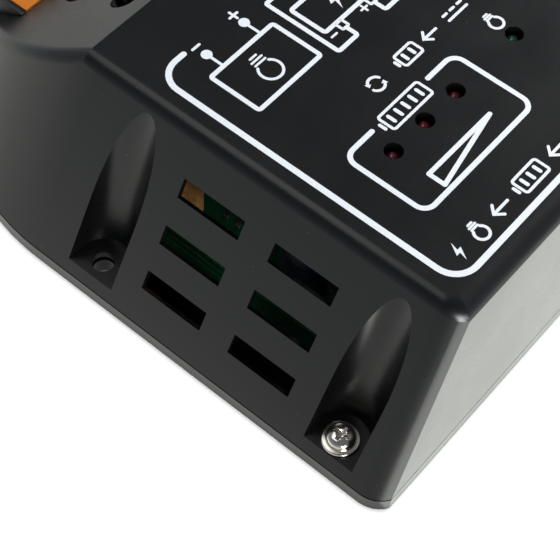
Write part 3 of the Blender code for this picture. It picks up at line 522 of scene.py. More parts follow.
class Print:
    """Collects one group of ink marks on the label face."""

    def __init__(self):
        self.bm = bmesh.new()
        self.low = (LABEL_Z - INK_SINK) / MM
        self.strokes = 0

    def top(self):
        """The next stroke's top. Strokes that cross lie at slightly different heights."""
        self.strokes += 1
        return (LABEL_Z + INK_DEPTH + INK_STEP * (self.strokes % INK_LEVELS)) / MM

    def line(self, corners, width=PICTOGRAM_LINE, radius=0.0, closed=False):
        path = rounded_path(corners, radius, closed)
        add_line(self.bm, path, width, self.low, self.top(), closed)

    def circle(self, centre, radius, start=0.0, end=360.0):
        closed = abs(end - start) >= 360.0
        path = arc(centre, radius, start, end)
        add_line(self.bm, path[:-1] if closed else path, PICTOGRAM_LINE, self.low, self.top(), closed)

    def disc(self, centre, radius):
        add_plate(self.bm, arc(centre, radius, 0, 360)[:-1], self.low, self.top())

    def plate(self, outline):
        add_plate(self.bm, outline, self.low, self.top())

    def triangle(self, corners, width):
        """An open triangle, drawn round its corners with one line of this width."""
        spots = [Vector(c) for c in corners]
        sides = [(spots[k - 1] - spots[k - 2]).length for k in range(3)]
        reach = sum(sides)
        centre = sum((spot * side for spot, side in zip(spots, sides)), Vector((0, 0))) / reach
        a, b = spots[1] - spots[0], spots[2] - spots[0]
        inner_radius = abs(a.x * b.y - a.y * b.x) / reach
        loops = []
        for offset, corner in ((width / 2, width / 2), (-width / 2, 0.04)):
            grown = [centre + (spot - centre) * (1 + offset / inner_radius) for spot in spots]
            loops.append(rounded_path(grown, corner, closed=True))
        top = self.top()
        rings = []
        for outer, inner in zip(*loops):
            ring = ((outer, self.low), (inner, self.low), (inner, top), (outer, top))
            rings.append([self.bm.verts.new((p.x, p.y, z)) for p, z in ring])
        for one, two in zip(rings, rings[1:] + rings[:1]):
            for k in range(4):
                n = (k + 1) % 4
                self.bm.faces.new((one[k], one[n], two[n], two[k]))

    def box(self, low, high, width=PICTOGRAM_LINE, radius=0.5):
        corners = [(low[0], low[1]), (high[0], low[1]), (high[0], high[1]), (low[0], high[1])]
        self.line(corners, width, radius, closed=True)

    def done(self, name, material):
        return new_piece("print_" + name, self.bm, material)


def draw_plus(marks, x, y, size, width):
    marks.line([(x - size / 2, y), (x + size / 2, y)], width)
    marks.line([(x, y - size / 2), (x, y + size / 2)], width)


def draw_minus(marks, x, y, size, width):
    marks.line([(x - size / 2, y), (x + size / 2, y)], width)


def draw_lamp(marks, x, y, size):
    """A lamp bulb: round glass, neck and two bars of its cap."""
    glass = size * 0.34
    marks.circle((x, y + size * 0.16), glass, start=-50, end=230)
    for level, half in ((-0.2, 0.2), (-0.33, 0.2), (-0.46, 0.12)):
        bar_y = y + size * level
        marks.line([(x - size * half, bar_y), (x + size * half, bar_y)], PICTOGRAM_LINE * 0.8)


def draw_sun(marks, x, y, size):
    marks.circle((x, y), size * 0.2)
    centre = Vector((x, y))
    for k in range(SUN_RAYS):
        turn = math.tau * k / SUN_RAYS
        way = Vector((math.cos(turn), math.sin(turn)))
        marks.line([centre + way * size * 0.34, centre + way * size * 0.48], PICTOGRAM_LINE * 0.9)


def draw_battery(marks, x, y, length, height, bars):
    """A cell lying down, with its pole at the right and charge bars inside."""
    half = length / 2
    marks.box((x - half, y - height / 2), (x + half - height * 0.25, y + height / 2), PICTOGRAM_LINE, 0.6)
    pole = x + half
    marks.line([(pole, y - height * 0.17), (pole, y + height * 0.17)], PICTOGRAM_LINE * 1.2)
    room = length - height * 0.25 - 2 * PICTOGRAM_LINE
    for k in range(bars):
        place_x = x - half + PICTOGRAM_LINE + room * (k + 0.5) / bars
        marks.line([(place_x, y - height * 0.2), (place_x, y + height * 0.2)], PICTOGRAM_LINE * 1.3)


def draw_arrow(marks, x, y, length):
    head = length * 0.34
    marks.line([(x - length / 2, y), (x + length / 2, y)])
    marks.line([(x + length / 2 - head, y + head), (x + length / 2, y), (x + length / 2 - head, y - head)])


def draw_bolt(marks, x, y, size):
    points = ((0.12, 0.5), (-0.24, -0.08), (-0.02, -0.08), (-0.12, -0.5), (0.24, 0.08), (0.02, 0.08))
    marks.plate([(x + size * px, y + size * py) for px, py in points])


def draw_panel(marks, x, y, width, height, columns, rows):
    """A solar panel: a frame divided into cells."""
    marks.box((x - width / 2, y - height / 2), (x + width / 2, y + height / 2), PICTOGRAM_LINE, 0.3)
    for k in range(1, columns):
        cell_x = x - width / 2 + width * k / columns
        marks.line([(cell_x, y - height / 2), (cell_x, y + height / 2)], PICTOGRAM_LINE * 0.6)
    for k in range(1, rows):
        cell_y = y - height / 2 + height * k / rows
        marks.line([(x - width / 2, cell_y), (x + width / 2, cell_y)], PICTOGRAM_LINE * 0.6)


def draw_direct_current(marks, x, y, length):
    marks.line([(x - length / 2, y + 0.8), (x + length / 2, y + 0.8)])
    dash = length / 5
    for k in range(3):
        start = x - length / 2 + dash * 2 * k
        marks.line([(start, y - 0.8), (start + dash, y - 0.8)])


def draw_cycle(marks, x, y, size):
    """Two arrows that chase each other: works by itself."""
    radius = size * 0.4
    for start in (20, 200):
        marks.circle((x, y), radius, start=start, end=start + 130)
        tip = arc((x, y), radius, start + 150, start + 151, 1)[0]
        foot_out = arc((x, y), radius + size * 0.16, start + 122, start + 123, 1)[0]
        foot_in = arc((x, y), radius - size * 0.16, start + 122, start + 123, 1)[0]
        marks.plate([tip, foot_out, foot_in])


def print_label(material):
    """All marks on the label face."""
    outline = Print()
    corners = [
        (LABEL_FRAME_OPEN, LABEL_FRAME_FRONT),
        (LABEL_FRAME_X, LABEL_FRAME_FRONT),
        (LABEL_FRAME_X, LABEL_FRAME_BACK),
        (-LABEL_FRAME_X, LABEL_FRAME_BACK),
        (-LABEL_FRAME_X, LABEL_FRAME_FRONT),
        (-LABEL_FRAME_OPEN, LABEL_FRAME_FRONT),
    ]
    outline.line(corners, LABEL_FRAME_LINE, LABEL_FRAME_RADIUS)
    outline.done("frame", material)

    ways = [sum((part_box(f"terminal_screw_{k}")[i].x for i in (0, 1))) / 2 / MM for k in WAYS]
    circle_y, sign_y = -7.95, -10.8
    box_front, box_back = -3.49, 9.0
    signs = Print()
    for k, x in enumerate(ways):
        signs.disc((x, circle_y), 1.2)
        if k % 2:
            draw_minus(signs, x, sign_y, 2.0, 0.6)
        else:
            draw_plus(signs, x, sign_y, 2.2, 0.6)
    signs.done("signs", material)

    for name, side in (("load", 1), ("panel", -1)):
        symbol = Print()
        inner, outer = sorted((side * 13.47, side * 32.34))
        symbol.box((inner, box_front), (outer, box_back), SYMBOL_LINE, 0.6)
        for x in ways:
            if inner < x < outer:
                symbol.line([(x, circle_y), (x, box_front)], THIN_LINE)
        middle_x, middle_y = (inner + outer) / 2, (box_front + box_back) / 2
        if name == "load":
            draw_lamp(symbol, middle_x, middle_y, 7.5)
        else:
            draw_panel(symbol, middle_x, middle_y, 13.0, 7.0, 4, 2)
        symbol.done(name, material)

    battery = Print()
    half, front, back = 8.28, -3.07, 5.9
    battery.box((-half, front), (half, back), SYMBOL_LINE, 0.6)
    post_y, wire_y, wire_x = 7.45, 11.05, 10.3
    for side, pole in ((1, 4.3), (-1, -4.9)):
        battery.box((pole - 0.9, back), (pole + 0.9, post_y + 0.6), THIN_LINE, 0.2)
        battery.line(
            [
                (side * ways[3], circle_y),
                (side * wire_x, circle_y),
                (side * wire_x, wire_y),
                (pole, wire_y),
                (pole, post_y + 0.8),
            ],
            SYMBOL_LINE,
            0.5,
        )
    draw_minus(battery, 7.6, 7.7, 1.6, 0.5)
    draw_plus(battery, -2.2, 7.6, 1.8, 0.5)
    draw_bolt(battery, 0.0, (front + back) / 2, 6.0)
    battery.done("battery", material)

    lamps = {name: middle_of(name) for name in LAMP_NODES}
    lamp_y = lamps["led_load"].y
    level = Print()
    (left, low), (right, high) = LAMP_BOX
    corners = [(LAMP_BOX_OPEN[0], low), (left, low), (left, high)]
    corners += [(right, high), (right, low), (LAMP_BOX_OPEN[1], low)]
    level.line(corners, SYMBOL_LINE * 1.1, LAMP_BOX_RADIUS)
    level.triangle(WEDGE, SYMBOL_LINE)
    draw_battery(level, 13.0, low + 0.9, 13.5, 4.2, 5)
    level.done("level", material)

    words = Print()
    draw_lamp(words, lamps["led_load"].x, lamp_y - 5.2, 4.6)
    draw_sun(words, lamps["led_solar"].x, lamp_y - 5.0, 5.0)
    row_y = LAMP_SIGN_Y
    draw_direct_current(words, -14.0, row_y, 6.0)
    draw_arrow(words, -5.5, row_y, 4.0)
    draw_battery(words, 2.0, row_y, 6.5, 3.4, 2)
    draw_cycle(words, 12.0, row_y, 4.4)
    words.done("lamp_marks", material)

    title = Print()
    row_y = TITLE_Y
    draw_sun(title, -22.0, row_y, 5.0)
    draw_arrow(title, -14.8, row_y, 4.4)
    draw_panel(title, -6.8, row_y, 6.5, 3.8, 3, 2)
    draw_arrow(title, 1.6, row_y, 4.4)
    draw_battery(title, 10.8, row_y, 8.5, 3.8, 3)
    draw_arrow(title, 20.2, row_y, 4.4)
    draw_lamp(title, 27.2, row_y, 4.6)
    draw_bolt(title, 33.4, row_y, 4.4)
    title.done("title", material)


# ------------------------------------------------------------------ fine pieces


def box_of(name):
    """A node's lowest and highest corners, in millimetres."""
    low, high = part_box(name)
    return low / MM, high / MM


def middle_of(name):
    low, high = box_of(name)
    return (low + high) / 2


def add_turned(bm, profile, at=(0.0, 0.0), segments=40, along="Z"):
    """A solid of revolution. The profile runs from low to high as (radius, place along the axis)."""
    turn = {
        "Z": lambda a, b, c: (at[0] + a, at[1] + b, c),
        "X": lambda a, b, c: (c, at[0] + a, at[1] + b),
        "Y": lambda a, b, c: (at[0] + a, c, at[1] + b),
    }[along]
    rings = []
    for radius, level in profile:
        angles = [math.tau * k / segments for k in range(segments)] if radius else [0.0]
        rings.append([bm.verts.new(turn(radius * math.cos(a), radius * math.sin(a), level)) for a in angles])
    for lower, upper in zip(rings, rings[1:]):
        for k in range(segments):
            n = (k + 1) % segments
            if len(lower) == 1:
                bm.faces.new((lower[0], upper[n], upper[k]))
            elif len(upper) == 1:
                bm.faces.new((lower[k], lower[n], upper[0]))
            else:
                bm.faces.new((lower[k], lower[n], upper[n], upper[k]))
    for ring in (rings[0], rings[-1]):
        if len(ring) > 1:
            bm.faces.new(ring)


def add_prism(bm, outline, low, high, axis="Z"):
    """A closed outline of 2-D points, extruded along an axis."""
    spot = {
        "X": lambda p, d: (d, p[0], p[1]),
        "Y": lambda p, d: (p[0], d, p[1]),
        "Z": lambda p, d: (p[0], p[1], d),
    }[axis]
    first = [bm.verts.new(spot(p, low)) for p in outline]
    last = [bm.verts.new(spot(p, high)) for p in outline]
    bm.faces.new(first)
    bm.faces.new(last)
    for k in range(len(outline)):
        n = (k + 1) % len(outline)
        bm.faces.new((first[k], first[n], last[n], last[k]))


def add_box(bm, low, high):
    corners = [(low[0], low[1]), (high[0], low[1]), (high[0], high[1]), (low[0], high[1])]
    add_prism(bm, corners, low[2], high[2])


def round_piece(piece, edge, angle=30.0, segments=2):
    """Smooth shading, with real rounds on the sharper edges."""
    piece.data.shade_smooth()
    rounds = piece.modifiers.new("rounds", "BEVEL")
    rounds.width = edge * MM
    rounds.segments = segments
    rounds.limit_method = "ANGLE"
    rounds.angle_limit = math.radians(angle)
    normals = piece.modifiers.new("normals", "WEIGHTED_NORMAL")
    normals.keep_sharp = True
    return piece


def cut_piece(piece, bm):
    """Cuts a closed shape, drawn in millimetres, out of a piece."""
    bmesh.ops.recalc_face_normals(bm, faces=bm.faces)
    bmesh.ops.scale(bm, vec=(MM, MM, MM), verts=bm.verts)
    tool_mesh = bpy.data.meshes.new("tool")
    bm.to_mesh(tool_mesh)
    bm.free()
    tool = bpy.data.objects.new("tool", tool_mesh)
    bpy.context.scene.collection.objects.link(tool)
    modifier = piece.modifiers.new("cut", "BOOLEAN")
    modifier.operation = "DIFFERENCE"
    modifier.solver = "EXACT"
    modifier.object = tool
    bpy.context.view_layer.update()
    graph = bpy.context.evaluated_depsgraph_get()
    mesh = bpy.data.meshes.new_from_object(piece.evaluated_get(graph))
    piece.modifiers.clear()
    piece.data = mesh
    bpy.data.objects.remove(tool)


def case_screw(name, materials):
    """A pan head with a fixed washer and a cross recess."""
    low, high = box_of(name)
    at = middle_of(name)
    top = high.z
    seat = top - 2.6
    profile = [(0.9, low.z), (1.3, low.z + 0.6), (1.3, seat)]
    profile += [(3.72, seat), (3.88, seat + 0.1), (3.9, seat + 0.4)]
    profile += [(3.8, seat + 0.56), (3.55, seat + 0.64), (3.2, seat + 0.6)]
    profile += [(3.0, seat + 0.66), (2.92, seat + 0.8)]
    profile += [(2.92, seat + 1.3), (2.84, seat + 1.62), (2.66, seat + 1.9)]
    profile += [(2.36, seat + 2.13), (1.95, seat + 2.32)]
    profile += [(1.4, seat + 2.48), (0.75, seat + 2.57), (0, top)]
    bm = bmesh.new()
    add_turned(bm, profile, at, 64)
    piece = new_piece("fine_" + name, bm, materials["screw_nickel"], "case")
    depth = 1.5
    for across in (0, 1):
        bm = bmesh.new()
        sizes = ((top - depth, 0.75, 0.24), (top + 0.4, 1.95, 0.42))
        rings = []
        for level, half_long, half_wide in sizes:
            a, b = (half_long, half_wide) if across else (half_wide, half_long)
            spots = ((-a, -b), (a, -b), (a, b), (-a, b))
            rings.append([bm.verts.new((at.x + x, at.y + y, level)) for x, y in spots])
        bm.faces.new(rings[0])
        bm.faces.new(rings[1])
        for k in range(4):
            n = (k + 1) % 4
            bm.faces.new((rings[0][k], rings[0][n], rings[1][n], rings[1][k]))
        cut_piece(piece, bm)
    bm = bmesh.new()
    add_turned(bm, [(0, top - depth - 0.35), (0.95, top + 0.05), (0.95, top + 0.5)], at, 24)
    cut_piece(piece, bm)
    round_piece(piece, 0.05, 40.0, 1)
    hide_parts(name)


def clamp_screw(k, materials):
    """A slotted cheese head on a threaded shank."""
    name = f"terminal_screw_{k}"
    low, high = box_of(name)
    at = middle_of(name)
    head = high.z - 2.4
    profile = [(1.1, low.z), (1.45, low.z + 0.45)]
    level = low.z + 0.6
    while level < head - 0.7:
        profile += [(1.68, level), (1.4, level + 0.35)]
        level += 0.7
    profile += [(1.4, head), (2.8, head), (2.9, head + 0.1)]
    profile += [(2.9, head + 1.9), (2.75, head + 2.2), (2.3, head + 2.4)]
    bm = bmesh.new()
    add_turned(bm, profile, at, 44)
    piece = new_piece(f"fine_{name}", bm, materials["plated_steel"], f"screw_{k}")
    bm = bmesh.new()
    add_box(bm, (at.x - 4, at.y - 0.42, high.z - 1.15), (at.x + 4, at.y + 0.42, high.z + 1))
    cut_piece(piece, bm)
    round_piece(piece, 0.07, 35.0)
    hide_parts(name)


def lamp(name, materials):
    """A 3 mm lamp: clear tinted body with a flange and a domed end."""
    low, high = box_of(name)
    at = middle_of(name)
    radius = 1.5
    spring = high.z - radius
    profile = [(1.88, low.z), (1.95, low.z + 0.08), (1.95, low.z + 0.9)]
    profile += [(1.88, low.z + 1.0), (1.56, low.z + 1.0)]
    profile += [(radius, low.z + 1.1), (radius, spring)]
    profile += [(p.x, spring + p.y) for p in arc((0, 0), radius, 9, 81, 8)]
    profile.append((0, high.z))
    bm = bmesh.new()
    add_turned(bm, profile, at, 40)
    colour = "led_red" if "battery" in name else "led_green"
    piece = new_piece("fine_" + name, bm, materials[colour], "case")
    piece.data.shade_smooth()
    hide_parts(name)


def lamp_leads(names, materials):
    """Inside each lamp an anvil with its cup and a post, whose legs run down through the spacer."""
    board_top = box_of("circuit_board")[1].z
    bm = bmesh.new()
    for name in names:
        low = box_of(name)[0]
        at = middle_of(name)
        foot = board_top - 2.4
        add_box(bm, (at.x - 1.1, at.y - 0.22, foot), (at.x - 0.65, at.y + 0.22, low.z + 2.0))
        add_box(bm, (at.x + 0.65, at.y - 0.22, foot), (at.x + 1.1, at.y + 0.22, low.z + 2.6))
        cup = [(0.3, low.z + 2.05), (0.5, low.z + 2.6), (0.62, low.z + 3.1)]
        cup += [(0.45, low.z + 3.1), (0.25, low.z + 2.8)]
        add_turned(bm, cup, (at.x - 0.62, at.y), 20)
    piece = new_piece("lamp_leads", bm, materials["tinned_brass"], "case")
    round_piece(piece, 0.04)


def electrolytic(k, materials):
    """A can in its shrink sleeve, with a crimp groove and a scored aluminium top."""
    name = f"electrolytic_capacitor_{k}"
    low, high = box_of(name)
    at = middle_of(name)
    r = (high.x - low.x) / 2
    foot, top = low.z, high.z
    profile = [(r - 0.9, foot), (r - 0.35, foot + 0.06), (r - 0.05, foot + 0.4)]
    profile += [(r, foot + 0.9), (r, foot + 1.9)]
    profile += [(r - 0.12, foot + 2.2), (r - 0.32, foot + 2.5), (r - 0.12, foot + 2.8), (r, foot + 3.1)]
    profile += [(r, top - 0.9), (r - 0.07, top - 0.45), (r - 0.3, top - 0.12)]
    profile += [(r - 0.7, top), (r - 0.95, top - 0.03)]
    profile += [(r - 0.97, top - 0.5)]
    bm = bmesh.new()
    add_turned(bm, profile, at, 56)
    sleeve = new_piece("fine_" + name, bm, materials["sleeve_dark"], "case")
    round_piece(sleeve, 0.05, 50.0)
    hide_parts(name)
    bm = bmesh.new()
    add_turned(bm, [(r - 0.99, top - 0.45), (r - 0.99, top - 0.14), (r - 1.25, top - 0.1)], at, 56)
    can = new_piece(f"capacitor_top_{k}", bm, materials["aluminium"], "case")
    for across in (0, 1):
        a, b = (r - 2.0, 0.12) if across else (0.12, r - 2.0)
        bm = bmesh.new()
        add_box(bm, (at.x - a, at.y - b, top - 0.26), (at.x + a, at.y + b, top + 0.3))
        cut_piece(can, bm)
    round_piece(can, 0.03, 40.0, 1)


def transistor(k, materials):
    """A tabbed power transistor: moulded body with ejector dimple, tinned tab and three legs."""
    name = f"power_transistor_{k}"
    low, high = box_of(name)
    at = middle_of(name)
    body_low, body_high = low.z + 4.2, low.z + 13.2
    bm = bmesh.new()
    side = [(low.y + 0.35, body_low), (high.y - 1.3, body_low), (high.y - 0.55, body_low + 0.8)]
    side += [(high.y - 0.55, body_high - 0.8), (high.y - 1.3, body_high), (low.y + 0.35, body_high)]
    side += [(low.y, body_high - 1.6), (low.y, body_low + 0.6)]
    add_prism(bm, side, low.x + 0.05, high.x - 0.05, "X")
    body = new_piece("fine_" + name, bm, materials["moulding_black"], "case")
    bm = bmesh.new()
    add_turned(bm, [(1.1, low.y - 1), (1.1, low.y + 0.18)], (at.x, body_low + 5.6), 28, "Y")
    cut_piece(body, bm)
    round_piece(body, 0.18)
    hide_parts(name)
    bm = bmesh.new()
    add_box(bm, (low.x, high.y - 1.3, body_low + 0.4), (high.x, high.y, high.z))
    tab = new_piece(f"transistor_tab_{k}", bm, materials["tinned_brass"], "case")
    bm = bmesh.new()
    add_turned(bm, [(1.7, high.y - 3), (1.7, high.y + 1)], (at.x, high.z - 3.3), 32, "Y")
    cut_piece(tab, bm)
    round_piece(tab, 0.12)
    bm = bmesh.new()
    leg = high.y - 2.6
    for step in (-2.54, 0, 2.54):
        shape = [(at.x + step - 0.65, body_low + 0.5), (at.x + step - 0.65, body_low - 1.4)]
        shape += [(at.x + step - 0.38, body_low - 1.9), (at.x + step - 0.38, low.z - 2.4)]
        shape += [(at.x + step + 0.38, low.z - 2.4), (at.x + step + 0.38, body_low - 1.9)]
        shape += [(at.x + step + 0.65, body_low - 1.4), (at.x + step + 0.65, body_low + 0.5)]
        add_prism(bm, shape, leg - 0.25, leg + 0.25, "Y")
    legs = new_piece(f"transistor_legs_{k}", bm, materials["tinned_brass"], "case")
    round_piece(legs, 0.06)


def gull_wing(side, edge_y, body_z, board_z):
    """Side view of one bent pin, from the body's side down to its foot on the board."""
    t = 0.2
    path = [(0, body_z), (0.45, body_z), (0.75, board_z + t), (1.45, board_z + t)]
    path += [(1.45, board_z), (0.6, board_z), (0.3, body_z - t), (0, body_z - t)]
    return [(edge_y + side * y, z) for y, z in path]


def chip(name, pins, pin_width, materials):
    """A moulded chip with a mould line, a pin-one dimple and bent pins along both long sides."""
    low, high = box_of(name)
    waist = (low.z + high.z) / 2
    bm = bmesh.new()
    side = [(low.y + 0.35, low.z), (high.y - 0.35, low.z), (high.y - 0.05, waist), (high.y - 0.35, high.z)]
    side += [(low.y + 0.35, high.z), (low.y + 0.05, waist)]
    add_prism(bm, side, low.x + 0.1, high.x - 0.1, "X")
    body = new_piece("fine_" + name, bm, materials["moulding_black"], "case")
    bm = bmesh.new()
    add_turned(bm, [(0.55, high.z - 0.12), (0.55, high.z + 1)], (low.x + 1.5, low.y + 1.5), 24)
    cut_piece(body, bm)
    round_piece(body, 0.1)
    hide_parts(name)
    bm = bmesh.new()
    board_z = box_of("circuit_board")[1].z
    pitch = (high.x - low.x - 1.4) / max(1, pins - 1)
    for k in range(pins):
        x = low.x + 0.7 + pitch * k
        for side_sign, edge_y in ((1, high.y - 0.15), (-1, low.y + 0.15)):
            outline = gull_wing(side_sign, edge_y, waist, board_z + 0.02)
            add_prism(bm, outline, x - pin_width / 2, x + pin_width / 2, "X")
    legs = new_piece(name + "_pins", bm, materials["tinned_brass"], "case")
    round_piece(legs, 0.04)


def crystal_can(materials):
    """A drawn steel can on its flange."""
    low, high = box_of("crystal")
    bm = bmesh.new()
    reach = (high.y - low.y) / 2
    for inset, foot, top in ((0.0, low.z, low.z + 0.45), (0.45, low.z + 0.45, high.z)):
        r = reach - inset
        outline = arc((high.x - reach, low.y + reach), r, -90, 90, 14)
        outline += arc((low.x + reach, low.y + reach), r, 90, 270, 14)
        add_prism(bm, outline, foot, top)
    can = new_piece("fine_crystal", bm, materials["plated_steel"], "case")
    round_piece(can, 0.35, 60.0, 3)
    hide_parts("crystal")


def diode(materials):
    """A moulded rectifier with its cathode band and two bent leads."""
    low, high = box_of("blocking_diode")
    at = middle_of("blocking_diode")
    r = (high.z - low.z) / 2
    bm = bmesh.new()
    profile = [(r - 0.5, low.x), (r, low.x + 0.5), (r, high.x - 0.5), (r - 0.5, high.x)]
    add_turned(bm, profile, (at.y, at.z), 40, "X")
    body = new_piece("fine_blocking_diode", bm, materials["moulding_black"], "case")
    round_piece(body, 0.1, 25.0)
    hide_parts("blocking_diode")
    bm = bmesh.new()
    add_turned(bm, [(r + 0.02, high.x - 2.2), (r + 0.02, high.x - 0.9)], (at.y, at.z), 40, "X")
    band = new_piece("diode_band", bm, materials["nylon_white"], "case")
    band.data.shade_smooth()
    bm = bmesh.new()
    for side, edge in ((-1, low.x), (1, high.x)):
        start, stop = sorted((edge - side * 0.3, edge + side * 2.6))
        add_turned(bm, [(0.6, start), (0.6, stop)], (at.y, at.z), 16, "X")
        add_turned(bm, [(0.6, low.z - 2.4), (0.6, at.z)], (edge + side * 2.6, at.y), 16)
    leads = new_piece("diode_leads", bm, materials["tinned_brass"], "case")
    round_piece(leads, 0.1, 50.0)


def shunt(materials):
    """A metal-strip resistor: dark coating between two tinned ends."""
    low, high = box_of("shunt_resistor")
    bm = bmesh.new()
    add_box(bm, (low.x + 2.4, low.y + 0.1, low.z + 0.2), (high.x - 2.4, high.y - 0.1, high.z))
    body = new_piece("fine_shunt_resistor", bm, materials["moulding_black"], "case")
    round_piece(body, 0.3, 30.0, 3)
    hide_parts("shunt_resistor")
    bm = bmesh.new()
    for start, stop in ((low.x, low.x + 2.5), (high.x - 2.5, high.x)):
        add_box(bm, (start, low.y, low.z - 0.25), (stop, high.y, high.z - 0.6))
    ends = new_piece("shunt_ends", bm, materials["tinned_brass"], "case")
    round_piece(ends, 0.25, 30.0, 3)


def through_pins():
    """Plan points of the leads that go down through the board, with their radius."""
    pins = []
    for k in (1, 2):
        at = middle_of(f"electrolytic_capacitor_{k}")
        pins += [(at.x, at.y - 2.5, 0.35), (at.x, at.y + 2.5, 0.35)]
        low, high = box_of(f"film_capacitor_{k}")
        long_y = high.y - low.y > high.x - low.x
        for share in (0.15, 0.85):
            x = middle_of(f"film_capacitor_{k}").x if long_y else low.x + (high.x - low.x) * share
            y = low.y + (high.y - low.y) * share if long_y else middle_of(f"film_capacitor_{k}").y
            pins.append((x, y, 0.35))
    return pins


def board_leads(materials):
    """Round leads under the tall parts, and solder cones round every lead below the board."""
    board_low, board_high = box_of("circuit_board")
    pins = through_pins()
    bm = bmesh.new()
    for x, y, radius in pins:
        add_turned(bm, [(radius, board_low.z - 0.9), (radius, board_high.z + 0.6)], (x, y), 14)
    leads = new_piece("part_leads", bm, materials["tinned_brass"], "case")
    leads.data.shade_smooth()
    for k in range(1, 5):
        at = middle_of(f"power_transistor_{k}")
        leg = box_of(f"power_transistor_{k}")[1].y - 2.6
        pins += [(at.x + step, leg, 0.45) for step in (-2.54, 0, 2.54)]
    for name in LAMP_NODES:
        at = middle_of(name)
        pins += [(at.x - 0.9, at.y, 0.3), (at.x + 0.9, at.y, 0.3)]
    low, high = box_of("blocking_diode")
    at = middle_of("blocking_diode")
    pins += [(low.x - 2.6, at.y, 0.6), (high.x + 2.6, at.y, 0.6)]
    for k in WAYS:
        contact = f"terminal_contact_{k}"
        pins.append((middle_of(contact).x, box_of(contact)[1].y - 0.4, 1.1))
    bm = bmesh.new()
    under = board_low.z
    for x, y, radius in pins:
        wide = radius + 0.55
        cone = [(radius * 0.7, under - 1.0), (radius + 0.12, under - 0.7), (radius + 0.3, under - 0.3)]
        add_turned(bm, cone + [(wide, under - 0.04), (wide, under + 0.02)], (x, y), 20)
    solder = new_piece("solder_joints", bm, materials["solder"], "case")
    solder.data.shade_smooth()


def board_tracks(materials):
    """Wide current tracks back from the terminals, fine ones along the right side, and part outlines."""
    top = box_of("circuit_board")[1].z
    bm = bmesh.new()
    contacts = [middle_of(f"terminal_contact_{k}").x for k in WAYS]
    for k, x in enumerate(contacts):
        bend = -44.0 + abs(k - 2.5) * 2.0
        run = (k - 2.5) * 5.6
        path = rounded_path([(x, -54.0), (x, bend), (run, bend + abs(x - run)), (run, 44.0)], 1.2)
        add_line(bm, path, 3.2, top - 0.01, top + 0.06)
    for k in range(5):
        x = 49.4 - k * 1.1
        shift = 2.2 + 0.5 * k
        corners = [(x, -30.0 + 3 * k), (x, 16.0 - k)]
        corners += [(x - shift, 16.0 - k + shift), (x - shift, 56.0 - 2 * k)]
        add_line(bm, rounded_path(corners, 0.4), 0.45, top - 0.01, top + 0.05)
    tracks = new_piece("board_tracks", bm, materials["board_track"], "case")
    tracks.data.shade_smooth()
    bm = bmesh.new()
    outlines = ["electrolytic_capacitor_1", "electrolytic_capacitor_2"]
    outlines += ["microcontroller", "voltage_regulator", "shunt_resistor", "crystal", "blocking_diode"]
    for name in outlines:
        low, high = box_of(name)
        grow = 0.7
        corners = [(low.x - grow, low.y - grow), (high.x + grow, low.y - grow)]
        corners += [(high.x + grow, high.y + grow), (low.x - grow, high.y + grow)]
        add_line(bm, rounded_path(corners, 0.5, True), 0.2, top - 0.01, top + 0.05, True)
    for k in range(4):
        y = 24.0 + 1.5 * k
        add_line(bm, rounded_path([(38.0 + 0.3 * (k % 2), y), (39.6, y)], 0), 0.24, top - 0.01, top + 0.05)
    marks = new_piece("board_marks", bm, materials["board_ink"], "case")
    marks.data.shade_smooth()


def passives(materials):
    """Small chip resistors and capacitors in rows, each with two tinned ends on its pads."""
    top = box_of("circuit_board")[1].z
    rows = [((44.0, 8.0), (0, 3.2), 5), ((36.0, 5.0), (0, 3.4), 4), ((30.0, 16.0), (3.2, 0), 3)]
    rows += [((-22.0, 16.0), (3.4, 0), 7), ((-44.0, -20.0), (0, 3.4), 6), ((24.0, -14.0), (3.4, 0), 4)]
    bodies, ends = bmesh.new(), bmesh.new()
    for start, step, count in rows:
        for k in range(count):
            x, y = start[0] + step[0] * k, start[1] + step[1] * k
            add_box(bodies, (x - 0.72, y - 0.58, top + 0.1), (x + 0.72, y + 0.58, top + 0.62))
            for side in (-1, 1):
                a, b = sorted((x + side * 0.66, x + side * 1.04))
                add_box(ends, (a, y - 0.62, top + 0.04), (b, y + 0.62, top + 0.66))
                a, b = sorted((x + side * 0.8, x + side * 1.5))
                add_box(ends, (a, y - 0.7, top - 0.01), (b, y + 0.7, top + 0.03))
    body = new_piece("passive_bodies", bodies, materials["moulding_black"], "case")
    round_piece(body, 0.06)
    round_piece(new_piece("passive_ends", ends, materials["solder"], "case"), 0.06)


def housing_ribs(materials):
    """Ribs between the ways on top of the terminal block."""
    low, high = box_of("terminal_housing")
    wells = [middle_of(f"terminal_screw_{k}") for k in WAYS]
    pitch = wells[1].x - wells[0].x
    bm = bmesh.new()
    for k in range(1, len(wells)):
        x = wells[k].x - pitch / 2
        side = [(low.y + 3.4, high.z - 0.02), (high.y - 0.3, high.z - 0.02), (high.y - 0.5, high.z + 0.7)]
        side += [(low.y + 4.0, high.z + 0.7)]
        add_prism(bm, side, x - 0.5, x + 0.5, "X")
    ribs = new_piece("terminal_ribs", bm, materials["terminal_orange"], "case")
    round_piece(ribs, 0.15)


def base_marks(materials):
    """Shallow ejector-pin rings on the underside of the base."""
    under = box_of("base")[0].z
    bm = bmesh.new()
    spots = [(x, y) for x in (-46, -16, 16, 46) for y in (-38, 4, 46)]
    for x, y in spots:
        add_line(bm, arc((x, y), 2.6, 0, 360)[:-1], 0.35, under - 0.04, under + 0.05, True)
    rings = new_piece("ejector_rings", bm, materials["base_black"], "case")
    rings.data.shade_smooth()


